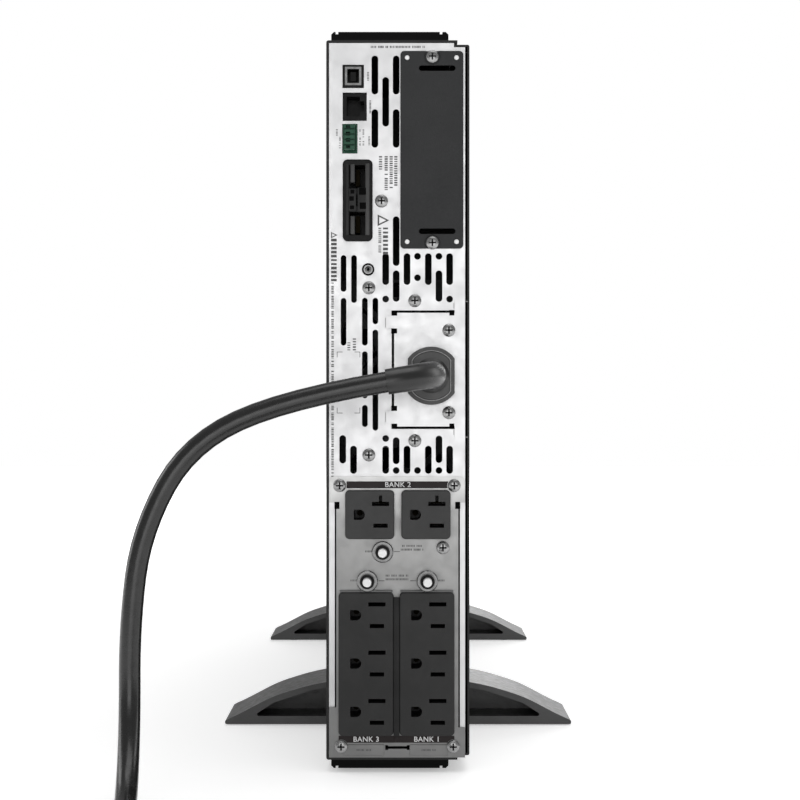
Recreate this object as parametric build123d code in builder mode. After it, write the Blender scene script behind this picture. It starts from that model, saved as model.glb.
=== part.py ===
"""Rack and tower uninterruptible power supply, standing as a tower on two pairs of stabiliser feet.

Millimetres. +Z is up. The outlets and the power cord are on the -Y face, the bezel is on the +Y face.
The origin is on the floor, below the middle of the unit. The lengths in the code are grouped by piece,
and each piece is one builder block that ends in a call of write().
"""

import os
from math import cos, pi, radians, sin, tan

from build123d import *

os.makedirs("parts", exist_ok=True)

# ---------------------------------------------------------------- driving dimensions
CASE_W = 86.0  # X, two rack units
CASE_H = 432.0  # Z, the width of the unit when it lies in a rack
DEPTH = 667.0  # Y, breaker buttons to bezel
REAR_PROUD = 13.0  # how far the breaker buttons stand out of the rear panel
BEZEL_DEPTH = 42.0
SHEET = 1.4  # base tray
COVER_SHEET = 1.2
PANEL_SHEET = 1.2
STEP_W, STEP_H = 7.2, 2.7  # the step in the case's corners where the cover tucks under the tray
FIT = 0.3  # gap between pieces that slide together or are bolted side by side
RAIL_RISE = 5.0
RAIL_W = 70.4
FOOT_FLOOR = 2.5  # the feet's floor plate, under the lower rail

CASE_BOTTOM = FOOT_FLOOR + RAIL_RISE
Z_MID = CASE_BOTTOM + CASE_H / 2
TOP = CASE_H / 2  # the case's top edge, measured from its middle
BOTTOM = -CASE_H / 2
Y_BACK = -DEPTH / 2 + REAR_PROUD
Y_FRONT = DEPTH / 2
Y_CASE_FRONT = Y_FRONT - BEZEL_DEPTH
CASE_LEN = Y_CASE_FRONT - Y_BACK
LEFT, RIGHT = -CASE_W / 2, CASE_W / 2
INNER_LEFT = LEFT + SHEET
INNER_RIGHT = RIGHT - COVER_SHEET
INNER_BOTTOM = CASE_BOTTOM + SHEET


def write(piece, name):
    """Names a finished piece and writes its STEP file."""
    piece.part.label = name
    export_step(piece.part, f"parts/{name}.step")


def back_plane(out=0.0):
    """A plane parallel to the rear panel, `out` mm outside its outer face. Sketch X is X, sketch Y is up."""
    return Plane(origin=(0, Y_BACK - out, Z_MID), x_dir=(1, 0, 0), z_dir=(0, -1, 0))


def front_plane(out=0.0):
    """A plane parallel to the bezel's face, `out` mm outside it. Sketch X is -X, sketch Y is up."""
    return Plane(origin=(0, Y_FRONT + out, Z_MID), x_dir=(-1, 0, 0), z_dir=(0, 1, 0))


def side_plane(x, y, z):
    """A plane facing +X through a point. Sketch X is Y, sketch Y is up."""
    return Plane(origin=(x, y, z), x_dir=(0, 1, 0), z_dir=(1, 0, 0))


def floor_plane(z, x=0.0, y=0.0):
    """A plane facing +Z through a point. Sketch X is X, sketch Y is Y."""
    return Plane(origin=(x, y, z), x_dir=(1, 0, 0), z_dir=(0, 0, 1))


def places(plane, points):
    """Locations on a plane, one for each 2-D point."""
    return [plane.location * Location((x, y, 0)) for x, y in points]


def box_between(low, high, mode=Mode.ADD):
    """A box between two corners, joined to the active part."""
    size = [b - a for a, b in zip(low, high)]
    middle = tuple((a + b) / 2 for a, b in zip(low, high))
    with Locations(middle):
        Box(*size, mode=mode)


def double_d(radius, half_width):
    """A circle with a flat on its left and on its right."""
    with BuildSketch(mode=Mode.PRIVATE) as shape:
        Circle(radius)
        Rectangle(2 * half_width, 4 * radius, mode=Mode.INTERSECT)
    return shape.sketch


# ---------------------------------------------------------------- fasteners
HEAD_R, HEAD_H, SHANK_R, SHANK_L = 3.9, 2.2, 1.7, 7.0
SMALL_HEAD_R, SMALL_HEAD_H, SMALL_SHANK_R, SMALL_SHANK_L = 3.1, 1.9, 1.4, 3.8


def pan_head_screw(head_r, head_h, shank_r, shank_l):
    """A pan-head screw with a cross recess. Its head stands on z = 0 and its shank hangs below."""
    with BuildPart() as screw:
        with BuildSketch():
            Circle(head_r)
        extrude(amount=head_h)
        fillet(screw.edges().group_by(Axis.Z)[-1], head_h * 0.8)
        with BuildSketch():
            Circle(shank_r)
        extrude(amount=-shank_l)
        chamfer(screw.edges().group_by(Axis.Z)[0], shank_r * 0.3)
        with BuildSketch(Plane.XY.offset(head_h)):
            Rectangle(head_r * 1.05, head_r * 0.24)
            Rectangle(head_r * 0.24, head_r * 1.05)
        extrude(amount=-head_h * 0.6, mode=Mode.SUBTRACT)
    return screw.part


M4_SCREW = pan_head_screw(HEAD_R, HEAD_H, SHANK_R, SHANK_L)
M3_SCREW = pan_head_screw(SMALL_HEAD_R, SMALL_HEAD_H, SMALL_SHANK_R, SMALL_SHANK_L)

# ---------------------------------------------------------------- layout of the rear face
# Points are (x, height above the case's middle). Groups hang from the case's top or bottom edge.
VENT_W, NARROW_VENT_W = 4.0, 3.4
SLOT_COVER_W, SLOT_COVER_H, SLOT_COVER_SHEET = 37.7, 118.4, 1.5
SLOT_COVER_X = 20.4
SLOT_COVER_V = TOP - 6.7 - SLOT_COVER_H / 2
CABLE_W, CABLE_H = 37.2, 68.2  # the cable plate between its tabs
CABLE_X, CABLE_V = 16.4, 18.2
CABLE_GAP = 1.5
GLAND_X, GLAND_V = 20.0, 14.5
PLATE_X = -0.3
OUTLET_PLATE_W = 73.2
OUTLET_PLATE_H = 168.6
OUTLET_PLATE_V = BOTTOM + 1.6 + OUTLET_PLATE_H / 2
OUTLET_SLIT = 1.0
EAR_TOP_H, EAR_LEFT_H, EAR_RIGHT_H = 15.7, 30.1, 18.0

OUTLET_20_W, OUTLET_20_H = 29.4, 29.2
OUTLET_20_X = (-16.8, 16.8)
OUTLET_20_V = BOTTOM + 147.5
OUTLET_15_W, OUTLET_PITCH, OUTLET_ROWS = 33.0, 28.9, 3
OUTLET_15_H = OUTLET_PITCH * OUTLET_ROWS - 0.8
OUTLET_15_X = (-19.0, 17.4)
OUTLET_15_V = BOTTOM + 57.9
BREAKERS = ((-9.1, BOTTOM + 125.1), (-18.3, BOTTOM + 107.6), (17.7, BOTTOM + 107.6))

USB_X, USB_V, USB_W, USB_H = -26.8, TOP - 21.7, 12.9, 14.0
SERIAL_X, SERIAL_V, SERIAL_W, SERIAL_H = -25.9, TOP - 39.9, 14.5, 17.0
EPO_X, EPO_V, EPO_W, EPO_H = -28.8, TOP - 59.1, 9.2, 17.8
BATT_CONN_X, BATT_CONN_V, BATT_CONN_W, BATT_CONN_H = -24.1, TOP - 96.3, 17.9, 49.0
PORTS = (
    (USB_X, USB_V, USB_W, USB_H),
    (SERIAL_X, SERIAL_V, SERIAL_W, SERIAL_H),
    (EPO_X, EPO_V, EPO_W, EPO_H),
)
GROUND_X, GROUND_V = -17.8, 78.3
GROUND_HOLE_R = 3.0

VENTS = (  # (x, width, slots as (upper end, lower end)); a slot as long as it is wide is a round hole
    (-13.8, VENT_W, ((TOP - 9.2, TOP - 32.5), (TOP - 41.4, TOP - 64.5))),
    (-7.3, VENT_W, ((TOP - 22.1, TOP - 51.8),)),
    (-1.0, VENT_W, ((TOP - 9.2, TOP - 32.5), (TOP - 41.4, TOP - 64.5), (TOP - 105.7, TOP - 135.5))),
    (-7.3, VENT_W, ((88.1, 69.1), (62.6, 58.6), (-21.1, -25.1), (-27.5, -44.3))),
    (-1.0, VENT_W, ((77.8, 59.0), (-22.4, -38.5), (-40.3, -44.3))),
    (5.5, VENT_W, ((88.1, 69.1), (-27.5, -44.3))),
    (11.8, VENT_W, ((88.3, 84.3), (75.4, 71.4), (-40.3, -44.3))),
    (18.3, VENT_W, ((88.1, 69.1), (-27.5, -44.3))),
    (24.7, VENT_W, ((88.3, 84.3), (77.8, 59.0), (-21.4, -37.8), (-40.3, -44.3))),
    (31.1, VENT_W, ((88.1, 69.1), (62.6, 58.6), (-27.5, -44.3))),
    (-32.6, NARROW_VENT_W, ((87.0, 65.0), (61.3, 32.7))),
    (-26.3, NARROW_VENT_W, ((87.0, 58.3),)),
    (-19.8, NARROW_VENT_W, ((61.4, 32.7), (29.2, 1.0), (-3.0, -16.2))),
    (-13.5, NARROW_VENT_W, ((61.4, 45.5), (42.2, 13.6), (10.2, -18.4))),
    (-33.1, VENT_W, ((-21.1, -38.1),)),
    (-26.6, VENT_W, ((-27.5, -44.3),)),
)
PANEL_SCREWS = ((-9.8, TOP - 96.6), (-17.4, 67.3), (10.2, 59.6), (10.2, -24.4), (-17.4, -33.0))
CABLE_SCREWS = ((30.6, 41.8), (30.6, -7.6))
SLOT_SCREWS = tuple((SLOT_COVER_X + 0.3, SLOT_COVER_V + s * (SLOT_COVER_H / 2 - 3.4)) for s in (1, -1))
SLOT_RIVETS = tuple(
    (SLOT_COVER_X + 14.8 * a, SLOT_COVER_V + b * (SLOT_COVER_H / 2 - 4.0)) for a in (1, -1) for b in (1, -1)
)
KEY_SLOT_X, KEY_SLOT_V, KEY_SLOT_W, KEY_SLOT_H = -0.2, BOTTOM + 7.6, 14.7, 1.6
KEY_END_W, KEY_END_H = 1.7, 2.9  # the slot's ends are taller than its middle
PLATE_TOP = OUTLET_PLATE_V + OUTLET_PLATE_H / 2
PLATE_FOOT = OUTLET_PLATE_V - OUTLET_PLATE_H / 2
OPENING_TOP = OUTLET_20_V + OUTLET_20_H / 2 + FIT
OPENING_FOOT = OUTLET_15_V - OUTLET_15_H / 2 - FIT
OUTLET_PLATE_SCREWS = (
    (-34.9, PLATE_TOP - 5.5),
    (33.8, PLATE_TOP - 5.5),
    (27.0, OUTLET_20_V - 20.0),
    (-34.0, PLATE_FOOT + 6.7),
    (33.2, PLATE_FOOT + 6.7),
)

# ---------------------------------------------------------------- case
EAR_HOLE_R = 2.15  # M4 clearance, for rack ears
EAR_HOLES_X, EAR_HOLES_Y = 50.0, 20.0
EAR_X = -4.8
EAR_Y = Y_CASE_FRONT - 18.0
RAIL_LEN = CASE_LEN - 36.0
RAIL_X = -4.8
RAIL_SCREWS_X = 40.0  # between the two rows
RAIL_SCREW_ROWS = 4
RAIL_SCREW_END = 30.0  # from each end of the rail to its first screws
RAIL_SCREW_PITCH = (RAIL_LEN - 2 * RAIL_SCREW_END) / (RAIL_SCREW_ROWS - 1)
RAIL_MIDDLE_Y = Y_BACK + RAIL_LEN / 2
SIDE_VENT_L, SIDE_VENT_W, SIDE_VENT_PITCH, SIDE_VENTS = 34.0, 3.2, 8.0, 9

with BuildPart() as base_tray:
    with BuildSketch(back_plane()):
        with Locations((LEFT, 0)):
            Rectangle(CASE_W - STEP_W, CASE_H, align=(Align.MIN, Align.CENTER))
        with Locations((INNER_LEFT, 0)):
            Rectangle(CASE_W, CASE_H - 2 * SHEET, align=(Align.MIN, Align.CENTER), mode=Mode.SUBTRACT)
    extrude(amount=-CASE_LEN)
    fillet(base_tray.edges().filter_by(Axis.Y).group_by(Axis.X)[0], SHEET)
    with BuildSketch(floor_plane(0, EAR_X, EAR_Y)):
        with GridLocations(EAR_HOLES_X, EAR_HOLES_Y, 2, 2):
            Circle(EAR_HOLE_R)
    extrude(amount=CASE_BOTTOM + CASE_H + 10, mode=Mode.SUBTRACT)
    with BuildSketch(floor_plane(0, RAIL_X, RAIL_MIDDLE_Y)):
        with GridLocations(RAIL_SCREWS_X, RAIL_SCREW_PITCH, 2, RAIL_SCREW_ROWS):
            Circle(SMALL_SHANK_R + FIT / 2)
    extrude(amount=CASE_BOTTOM + CASE_H + 10, mode=Mode.SUBTRACT)
    with BuildSketch(side_plane(LEFT - 5, Y_CASE_FRONT - 60, Z_MID + CASE_H / 4)):
        with GridLocations(1, SIDE_VENT_PITCH, 1, SIDE_VENTS):
            SlotOverall(SIDE_VENT_L, SIDE_VENT_W)
    extrude(amount=10, mode=Mode.SUBTRACT)
write(base_tray, "base_tray")

COVER_LIP = 9.0
with BuildPart() as top_cover:
    with BuildSketch(back_plane()):
        with Locations((RIGHT, 0)):
            Rectangle(COVER_LIP, CASE_H - 2 * STEP_H, align=(Align.MAX, Align.CENTER))
        with Locations((INNER_RIGHT, 0)):
            Rectangle(
                CASE_W, CASE_H - 2 * STEP_H - 2 * COVER_SHEET, align=(Align.MAX, Align.CENTER), mode=Mode.SUBTRACT
            )
    extrude(amount=-CASE_LEN)
    fillet(top_cover.edges().filter_by(Axis.Y).group_by(Axis.X)[-1], COVER_SHEET)
    with BuildSketch(side_plane(RIGHT + 5, Y_CASE_FRONT - 60, Z_MID + CASE_H / 4)):
        with GridLocations(1, SIDE_VENT_PITCH, 1, SIDE_VENTS):
            SlotOverall(SIDE_VENT_L, SIDE_VENT_W)
    extrude(amount=-10, mode=Mode.SUBTRACT)
write(top_cover, "top_cover")

# The rear panel fits between the tray's and the cover's walls, and steps down where the cover tucks in.
PANEL_FLANGE = 12.0
PANEL_LEFT, PANEL_RIGHT = INNER_LEFT + FIT, INNER_RIGHT - FIT - 1.1
STEP_X = RIGHT - COVER_LIP - FIT
PANEL_TALL = CASE_H / 2 - SHEET - FIT
PANEL_SHORT = CASE_H / 2 - STEP_H - COVER_SHEET - FIT
LUG_W = 5.0  # the panel's lugs under the cable plate's screws


def panel_outline(inset=0.0):
    """The rear panel's outline, with a step in both right corners."""
    x0, x1, x2 = PANEL_LEFT + inset, STEP_X - inset, PANEL_RIGHT - inset
    v0, v1 = PANEL_TALL - inset, PANEL_SHORT - inset
    Polygon((x0, v0), (x1, v0), (x1, v1), (x2, v1), (x2, -v1), (x1, -v1), (x1, -v0), (x0, -v0), align=None)


def vent_slots():
    """Every vent slot of the rear panel, in the active sketch."""
    for x, width, slots in VENTS:
        for upper, lower in slots:
            with Locations((x, (upper + lower) / 2)):
                if upper - lower > width + 0.1:
                    SlotOverall(upper - lower, width, rotation=90)
                else:
                    Circle(width / 2)


def key_slot(mode=Mode.ADD):
    """The slot under the outlets, with square ends taller than its middle, in the active sketch."""
    with Locations((KEY_SLOT_X, KEY_SLOT_V)):
        Rectangle(KEY_SLOT_W, KEY_SLOT_H, mode=mode)
        with GridLocations(KEY_SLOT_W - KEY_END_W, 0, 2, 1):
            Rectangle(KEY_END_W, KEY_END_H, mode=mode)


with BuildPart() as rear_panel:
    with BuildSketch(back_plane()):
        panel_outline()
    extrude(amount=-PANEL_FLANGE)
    with BuildSketch(back_plane(-PANEL_SHEET)):
        panel_outline(PANEL_SHEET)
    extrude(amount=-PANEL_FLANGE, mode=Mode.SUBTRACT)
    with BuildSketch(back_plane(1)):
        vent_slots()
        for x, v, width, height in PORTS:
            with Locations((x, v)):
                Rectangle(width, height)
        with Locations((BATT_CONN_X, BATT_CONN_V)):
            Rectangle(BATT_CONN_W - 2, BATT_CONN_H - 2)
        with Locations((GROUND_X, GROUND_V)):
            Circle(GROUND_HOLE_R)
        with Locations((SLOT_COVER_X, SLOT_COVER_V)):
            Rectangle(SLOT_COVER_W - 7, SLOT_COVER_H - 15)
        with Locations((CABLE_X - CABLE_GAP / 2, CABLE_V)):
            Rectangle(CABLE_W + CABLE_GAP, CABLE_H + 2 * CABLE_GAP)
        for x, v in CABLE_SCREWS:
            with Locations((x + LUG_W, v)):
                Rectangle(3 * LUG_W, 2 * LUG_W, mode=Mode.SUBTRACT)
        with Locations((PLATE_X, (OPENING_TOP + OPENING_FOOT) / 2)):
            Rectangle(OUTLET_PLATE_W + 2 * OUTLET_SLIT, OPENING_TOP - OPENING_FOOT)
        key_slot()
        with Locations(*PANEL_SCREWS, *SLOT_SCREWS, *CABLE_SCREWS, *OUTLET_PLATE_SCREWS):
            Circle(SHANK_R + FIT / 2)
    extrude(amount=-PANEL_SHEET - 2, mode=Mode.SUBTRACT)
write(rear_panel, "rear_panel")

# ---------------------------------------------------------------- rails along the top and the bottom
RAIL_CHAMFER = 1.6
RAIL_NOTCH_W, RAIL_NOTCH_D = 1.6, 1.4
RAIL_NOTCHES = (-31.8, 30.8)  # from the rail's middle


def rail(middle_z, outward):
    """A rail with notched corners. `outward` is 1 for the upper rail and -1 for the lower one."""
    face = middle_z + outward * RAIL_RISE / 2
    with BuildPart() as bar:
        with BuildSketch(Plane(origin=(RAIL_X, Y_BACK, middle_z), x_dir=(1, 0, 0), z_dir=(0, -1, 0))):
            Rectangle(RAIL_W, RAIL_RISE)
            with Locations(*[(x, outward * RAIL_RISE / 2) for x in RAIL_NOTCHES]):
                Rectangle(RAIL_NOTCH_W, 2 * RAIL_NOTCH_D, mode=Mode.SUBTRACT)
        extrude(amount=-RAIL_LEN)
        ends = bar.edges().filter_by(Axis.Y).sort_by(Axis.Z, reverse=outward > 0)[:6]
        chamfer(ends.group_by(Axis.X)[0] + ends.group_by(Axis.X)[-1], RAIL_CHAMFER)
        with BuildSketch(floor_plane(face, RAIL_X, RAIL_MIDDLE_Y)):
            with GridLocations(RAIL_SCREWS_X, RAIL_SCREW_PITCH, 2, RAIL_SCREW_ROWS):
                Circle(SMALL_HEAD_R + FIT)
        extrude(amount=-outward * (SMALL_HEAD_H + FIT), mode=Mode.SUBTRACT)
        with BuildSketch(floor_plane(face, RAIL_X, RAIL_MIDDLE_Y)):
            with GridLocations(RAIL_SCREWS_X, RAIL_SCREW_PITCH, 2, RAIL_SCREW_ROWS):
                Circle(SMALL_SHANK_R + FIT / 2)
        extrude(amount=-outward * RAIL_RISE, mode=Mode.SUBTRACT)
    return bar.part


UPPER_RAIL_Z = CASE_BOTTOM + CASE_H + RAIL_RISE / 2
LOWER_RAIL_Z = CASE_BOTTOM - RAIL_RISE / 2
with BuildPart() as upper_rail:
    add(rail(UPPER_RAIL_Z, 1))
write(upper_rail, "upper_rail")
with BuildPart() as lower_rail:
    add(rail(LOWER_RAIL_Z, -1))
write(lower_rail, "lower_rail")

with BuildPart() as rail_screws:
    for middle_z, outward in ((UPPER_RAIL_Z, 1), (LOWER_RAIL_Z, -1)):
        seat = middle_z + outward * (RAIL_RISE / 2 - SMALL_HEAD_H - FIT)
        plane = Plane(origin=(RAIL_X, RAIL_MIDDLE_Y, seat), x_dir=(1, 0, 0), z_dir=(0, 0, outward))
        with Locations(plane):
            with GridLocations(RAIL_SCREWS_X, RAIL_SCREW_PITCH, 2, RAIL_SCREW_ROWS):
                add(M3_SCREW)
write(rail_screws, "rail_screws")

# ---------------------------------------------------------------- plates on the rear panel
PLATE_SHEET = 1.2
SLOT_CORNER_R = 2.4
SLOT_VENT_W, SLOT_VENT_H = 22.0, 3.4
SLOT_VENT_X, SLOT_VENT_RISE = 3.2, 48.9
SLOT_RECESS_R, SLOT_RECESS_D = 5.0, 0.7
RIVET_R, RIVET_H = 1.5, 0.4

with BuildPart() as slot_cover:
    with BuildSketch(back_plane()):
        with Locations((SLOT_COVER_X, SLOT_COVER_V)):
            RectangleRounded(SLOT_COVER_W, SLOT_COVER_H, SLOT_CORNER_R)
            with Locations((SLOT_VENT_X, SLOT_VENT_RISE), (SLOT_VENT_X, -SLOT_VENT_RISE)):
                SlotOverall(SLOT_VENT_W, SLOT_VENT_H, mode=Mode.SUBTRACT)
        with Locations(*SLOT_SCREWS):
            Circle(SHANK_R + FIT / 2, mode=Mode.SUBTRACT)
        with Locations(*SLOT_RIVETS):
            Circle(RIVET_R, mode=Mode.SUBTRACT)
    extrude(amount=SLOT_COVER_SHEET)
    with BuildSketch(back_plane(SLOT_COVER_SHEET)):
        with Locations(*SLOT_SCREWS):
            Circle(SLOT_RECESS_R)
    extrude(amount=-SLOT_RECESS_D, mode=Mode.SUBTRACT)
write(slot_cover, "slot_cover")

with BuildPart() as slot_cover_rivets:
    with BuildSketch(back_plane()):
        with Locations(*SLOT_RIVETS):
            Circle(RIVET_R)
    extrude(amount=SLOT_COVER_SHEET + RIVET_H)
write(slot_cover_rivets, "slot_cover_rivets")

GLAND_HOLE_R, GLAND_FLAT = 14.0, 12.2  # the double-D hole and the distance from its middle to its flats
TAB_W, TAB_H, TAB_RISE = 4.9, 7.6, 28.6
FLANGE_X0, FLANGE_X1, FLANGE_H = 34.1, 40.2, 82.4

with BuildPart() as cable_plate:
    with BuildSketch(back_plane()):
        with Locations((CABLE_X, CABLE_V)):
            Rectangle(CABLE_W, CABLE_H)
            with Locations((-CABLE_W / 2, TAB_RISE), (-CABLE_W / 2, -TAB_RISE)):
                Rectangle(2 * TAB_W, TAB_H)
        with Locations(((FLANGE_X0 + FLANGE_X1) / 2, CABLE_V + 0.4)):
            Rectangle(FLANGE_X1 - FLANGE_X0, FLANGE_H)
        with Locations((GLAND_X, GLAND_V)):
            add(double_d(GLAND_HOLE_R + FIT, GLAND_FLAT + FIT), mode=Mode.SUBTRACT)
        with Locations(*CABLE_SCREWS):
            Circle(SHANK_R + FIT / 2, mode=Mode.SUBTRACT)
    extrude(amount=PLATE_SHEET)
write(cable_plate, "cable_plate")

EAR_LEFT_X, EAR_RIGHT_X = -41.2, 40.3
EAR_CORNER_R = 3.0
BREAKER_BUSH_R = 4.3

with BuildPart() as outlet_plate:
    with BuildSketch(back_plane()) as plate_outline:
        with Locations((PLATE_X, OUTLET_PLATE_V)):
            Rectangle(OUTLET_PLATE_W, OUTLET_PLATE_H)
        with Locations(((EAR_LEFT_X + EAR_RIGHT_X) / 2, PLATE_TOP - EAR_TOP_H / 2)):
            Rectangle(EAR_RIGHT_X - EAR_LEFT_X, EAR_TOP_H)
        with Locations((EAR_LEFT_X / 2, PLATE_FOOT + EAR_LEFT_H / 2)):
            Rectangle(-EAR_LEFT_X, EAR_LEFT_H)
        with Locations((EAR_RIGHT_X / 2, PLATE_FOOT + EAR_RIGHT_H / 2)):
            Rectangle(EAR_RIGHT_X, EAR_RIGHT_H)
        fillet(plate_outline.vertices().group_by(Axis.Y)[-1], EAR_CORNER_R)
        with Locations(*[(x, OUTLET_20_V) for x in OUTLET_20_X]):
            Rectangle(OUTLET_20_W - 2, OUTLET_20_H - 2, mode=Mode.SUBTRACT)
        with Locations(*[(x, OUTLET_15_V) for x in OUTLET_15_X]):
            Rectangle(OUTLET_15_W - 2, OUTLET_15_H - 2, mode=Mode.SUBTRACT)
        with Locations(*BREAKERS):
            Circle(BREAKER_BUSH_R + FIT / 2, mode=Mode.SUBTRACT)
        with Locations(*OUTLET_PLATE_SCREWS):
            Circle(SHANK_R + FIT / 2, mode=Mode.SUBTRACT)
        key_slot(Mode.SUBTRACT)
    extrude(amount=PLATE_SHEET)
write(outlet_plate, "outlet_plate")

with BuildPart() as panel_screws:
    for place in places(back_plane(), PANEL_SCREWS):
        add(M4_SCREW.moved(place))
    for place in places(back_plane(PLATE_SHEET), CABLE_SCREWS):
        add(M4_SCREW.moved(place))
write(panel_screws, "panel_screws")

with BuildPart() as plate_screws:
    for place in places(back_plane(SLOT_COVER_SHEET - SLOT_RECESS_D), SLOT_SCREWS):
        add(M4_SCREW.moved(place))
    for place in places(back_plane(PLATE_SHEET), OUTLET_PLATE_SCREWS):
        add(M4_SCREW.moved(place))
write(plate_screws, "plate_screws")

# ---------------------------------------------------------------- outlets
OUTLET_20_PROUD, OUTLET_15_PROUD = 6.0, 4.0
OUTLET_DEPTH = 27.0  # behind the plate
SOCKET_DEPTH = 19.0
OUTLET_LIP_R = 2.6
GROUND_PIN_W, GROUND_PIN_H, GROUND_PIN_CORNER = 6.6, 6.2, 0.7
SLOT_LONG, SLOT_SHORT, SLOT_THICK = 10.3, 8.6, 2.5
SOCKET_SPREAD = 13.0  # between the two blade slots
GROUND_OFFSET = 12.7  # from the blade slots to the ground hole
SOCKET_X = 6.5  # from the outlet's middle to its blade slots


def ground_hole():
    """A D-shaped ground hole about the sketch's place, flat on the left."""
    round_x = (GROUND_PIN_W - GROUND_PIN_H) / 2
    with BuildSketch(mode=Mode.PRIVATE) as hole:
        with Locations((round_x, 0)):
            Circle(GROUND_PIN_H / 2)
        with Locations(((round_x - GROUND_PIN_W / 2) / 2, 0)):
            Rectangle(round_x + GROUND_PIN_W / 2, GROUND_PIN_H)
        fillet(hole.vertices().group_by(Axis.X)[0], GROUND_PIN_CORNER)
    return hole.sketch


GROUND_HOLE = ground_hole()


def socket_holes(x, v, t_slot=False):
    """The three holes of one outlet, in the active sketch. A 20 A outlet's upper slot is a T."""
    with Locations((x + SOCKET_X, v + SOCKET_SPREAD / 2)):
        Rectangle(SLOT_LONG, SLOT_THICK, mode=Mode.ADD)
        if t_slot:
            with Locations((0, SLOT_THICK)):
                Rectangle(SLOT_THICK - 0.5, 2 * SLOT_THICK)
    with Locations((x + SOCKET_X, v - SOCKET_SPREAD / 2)):
        Rectangle(SLOT_SHORT, SLOT_THICK)
    with Locations((x + SOCKET_X - GROUND_OFFSET, v)):
        add(GROUND_HOLE)


def outlet_block(x, v, width, height, proud, sockets, t_slot=False):
    """A moulded outlet block: a face that stands on the plate, a body behind it, and its holes."""
    with BuildPart() as block:
        with BuildSketch(back_plane(PLATE_SHEET)):
            with Locations((x, v)):
                RectangleRounded(width, height, OUTLET_LIP_R)
        extrude(amount=proud - PLATE_SHEET)
        fillet(block.faces().sort_by(Axis.Y)[0].edges(), 0.8)
        with BuildSketch(back_plane(PLATE_SHEET)):
            with Locations((x, v)):
                Rectangle(width - 2 - 2 * FIT, height - 2 - 2 * FIT)
        extrude(amount=-OUTLET_DEPTH)
        with BuildSketch(back_plane(proud)):
            for centre in sockets:
                socket_holes(x, centre, t_slot)
        extrude(amount=-SOCKET_DEPTH, mode=Mode.SUBTRACT)
    return block.part


ROWS_15 = [OUTLET_15_V + 0.5 + OUTLET_PITCH * i for i in (1, 0, -1)]

with BuildPart() as outlets_20a:
    for x in OUTLET_20_X:
        add(outlet_block(x, OUTLET_20_V, OUTLET_20_W, OUTLET_20_H, OUTLET_20_PROUD, [OUTLET_20_V], t_slot=True))
write(outlets_20a, "outlets_20a")
with BuildPart() as outlet_bank_3:
    add(outlet_block(OUTLET_15_X[0], OUTLET_15_V, OUTLET_15_W, OUTLET_15_H, OUTLET_15_PROUD, ROWS_15))
write(outlet_bank_3, "outlet_bank_3")
with BuildPart() as outlet_bank_1:
    add(outlet_block(OUTLET_15_X[1], OUTLET_15_V, OUTLET_15_W, OUTLET_15_H, OUTLET_15_PROUD, ROWS_15))
write(outlet_bank_1, "outlet_bank_1")

CONTACT_DEPTH = 3.0
SOCKET_SITES = [(x, v, OUTLET_15_PROUD) for x in OUTLET_15_X for v in ROWS_15]
SOCKET_SITES += [(x, OUTLET_20_V, OUTLET_20_PROUD) for x in OUTLET_20_X]
with BuildPart() as outlet_contacts:
    for x, v, proud in SOCKET_SITES:
        with BuildSketch(back_plane(proud - SOCKET_DEPTH)):
            with Locations((x + SOCKET_X, v + SOCKET_SPREAD / 2), (x + SOCKET_X, v - SOCKET_SPREAD / 2)):
                Rectangle(SLOT_SHORT - 2, SLOT_THICK - 1)
            with Locations((x + SOCKET_X - GROUND_OFFSET, v)):
                Circle(GROUND_PIN_W / 4)
        extrude(amount=CONTACT_DEPTH)
write(outlet_contacts, "outlet_contacts")

LABEL_H, LABEL_T = 4.1, 0.25
TOP_LABEL_W = 60.9
LOW_LABEL_V = OUTLET_15_V - OUTLET_15_H / 2 - LABEL_H / 2 - 0.3
with BuildPart() as bank_labels:
    with BuildSketch(back_plane(PLATE_SHEET)):
        with Locations((PLATE_X, OUTLET_20_V + OUTLET_20_H / 2 + LABEL_H / 2 + 1.0)):
            Rectangle(TOP_LABEL_W, LABEL_H)
        with Locations(*[(x, LOW_LABEL_V) for x in OUTLET_15_X]):
            Rectangle(OUTLET_15_W, LABEL_H)
        with Locations(*OUTLET_PLATE_SCREWS):
            Circle(HEAD_R + FIT, mode=Mode.SUBTRACT)
    extrude(amount=LABEL_T)
write(bank_labels, "bank_labels")

# ---------------------------------------------------------------- circuit breakers
BREAKER_BODY_W, BREAKER_BODY_H, BREAKER_BODY_L = 12.0, 9.0, 32.0
BREAKER_BUSH_H = 8.0
BREAKER_NUT_R, BREAKER_NUT_H = 6.4, 3.2
BREAKER_BUTTON_R, BREAKER_BORE_R = 2.6, 2.9
BREAKER_BUTTON_IN = 6.0

with BuildPart() as breaker_bodies:
    for x, v in BREAKERS:
        with BuildSketch(back_plane(0)):
            with Locations((x, v)):
                Rectangle(BREAKER_BODY_W, BREAKER_BODY_H)
        extrude(amount=-BREAKER_BODY_L)
        with BuildSketch(back_plane(-1)):
            with Locations((x, v)):
                Circle(BREAKER_BUSH_R)
        extrude(amount=BREAKER_BUSH_H + 1)
        with BuildSketch(back_plane(BREAKER_BUSH_H)):
            with Locations((x, v)):
                Circle(BREAKER_BORE_R)
        extrude(amount=-BREAKER_BUSH_H - BREAKER_BUTTON_IN - 2, mode=Mode.SUBTRACT)
write(breaker_bodies, "breaker_bodies")

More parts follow.
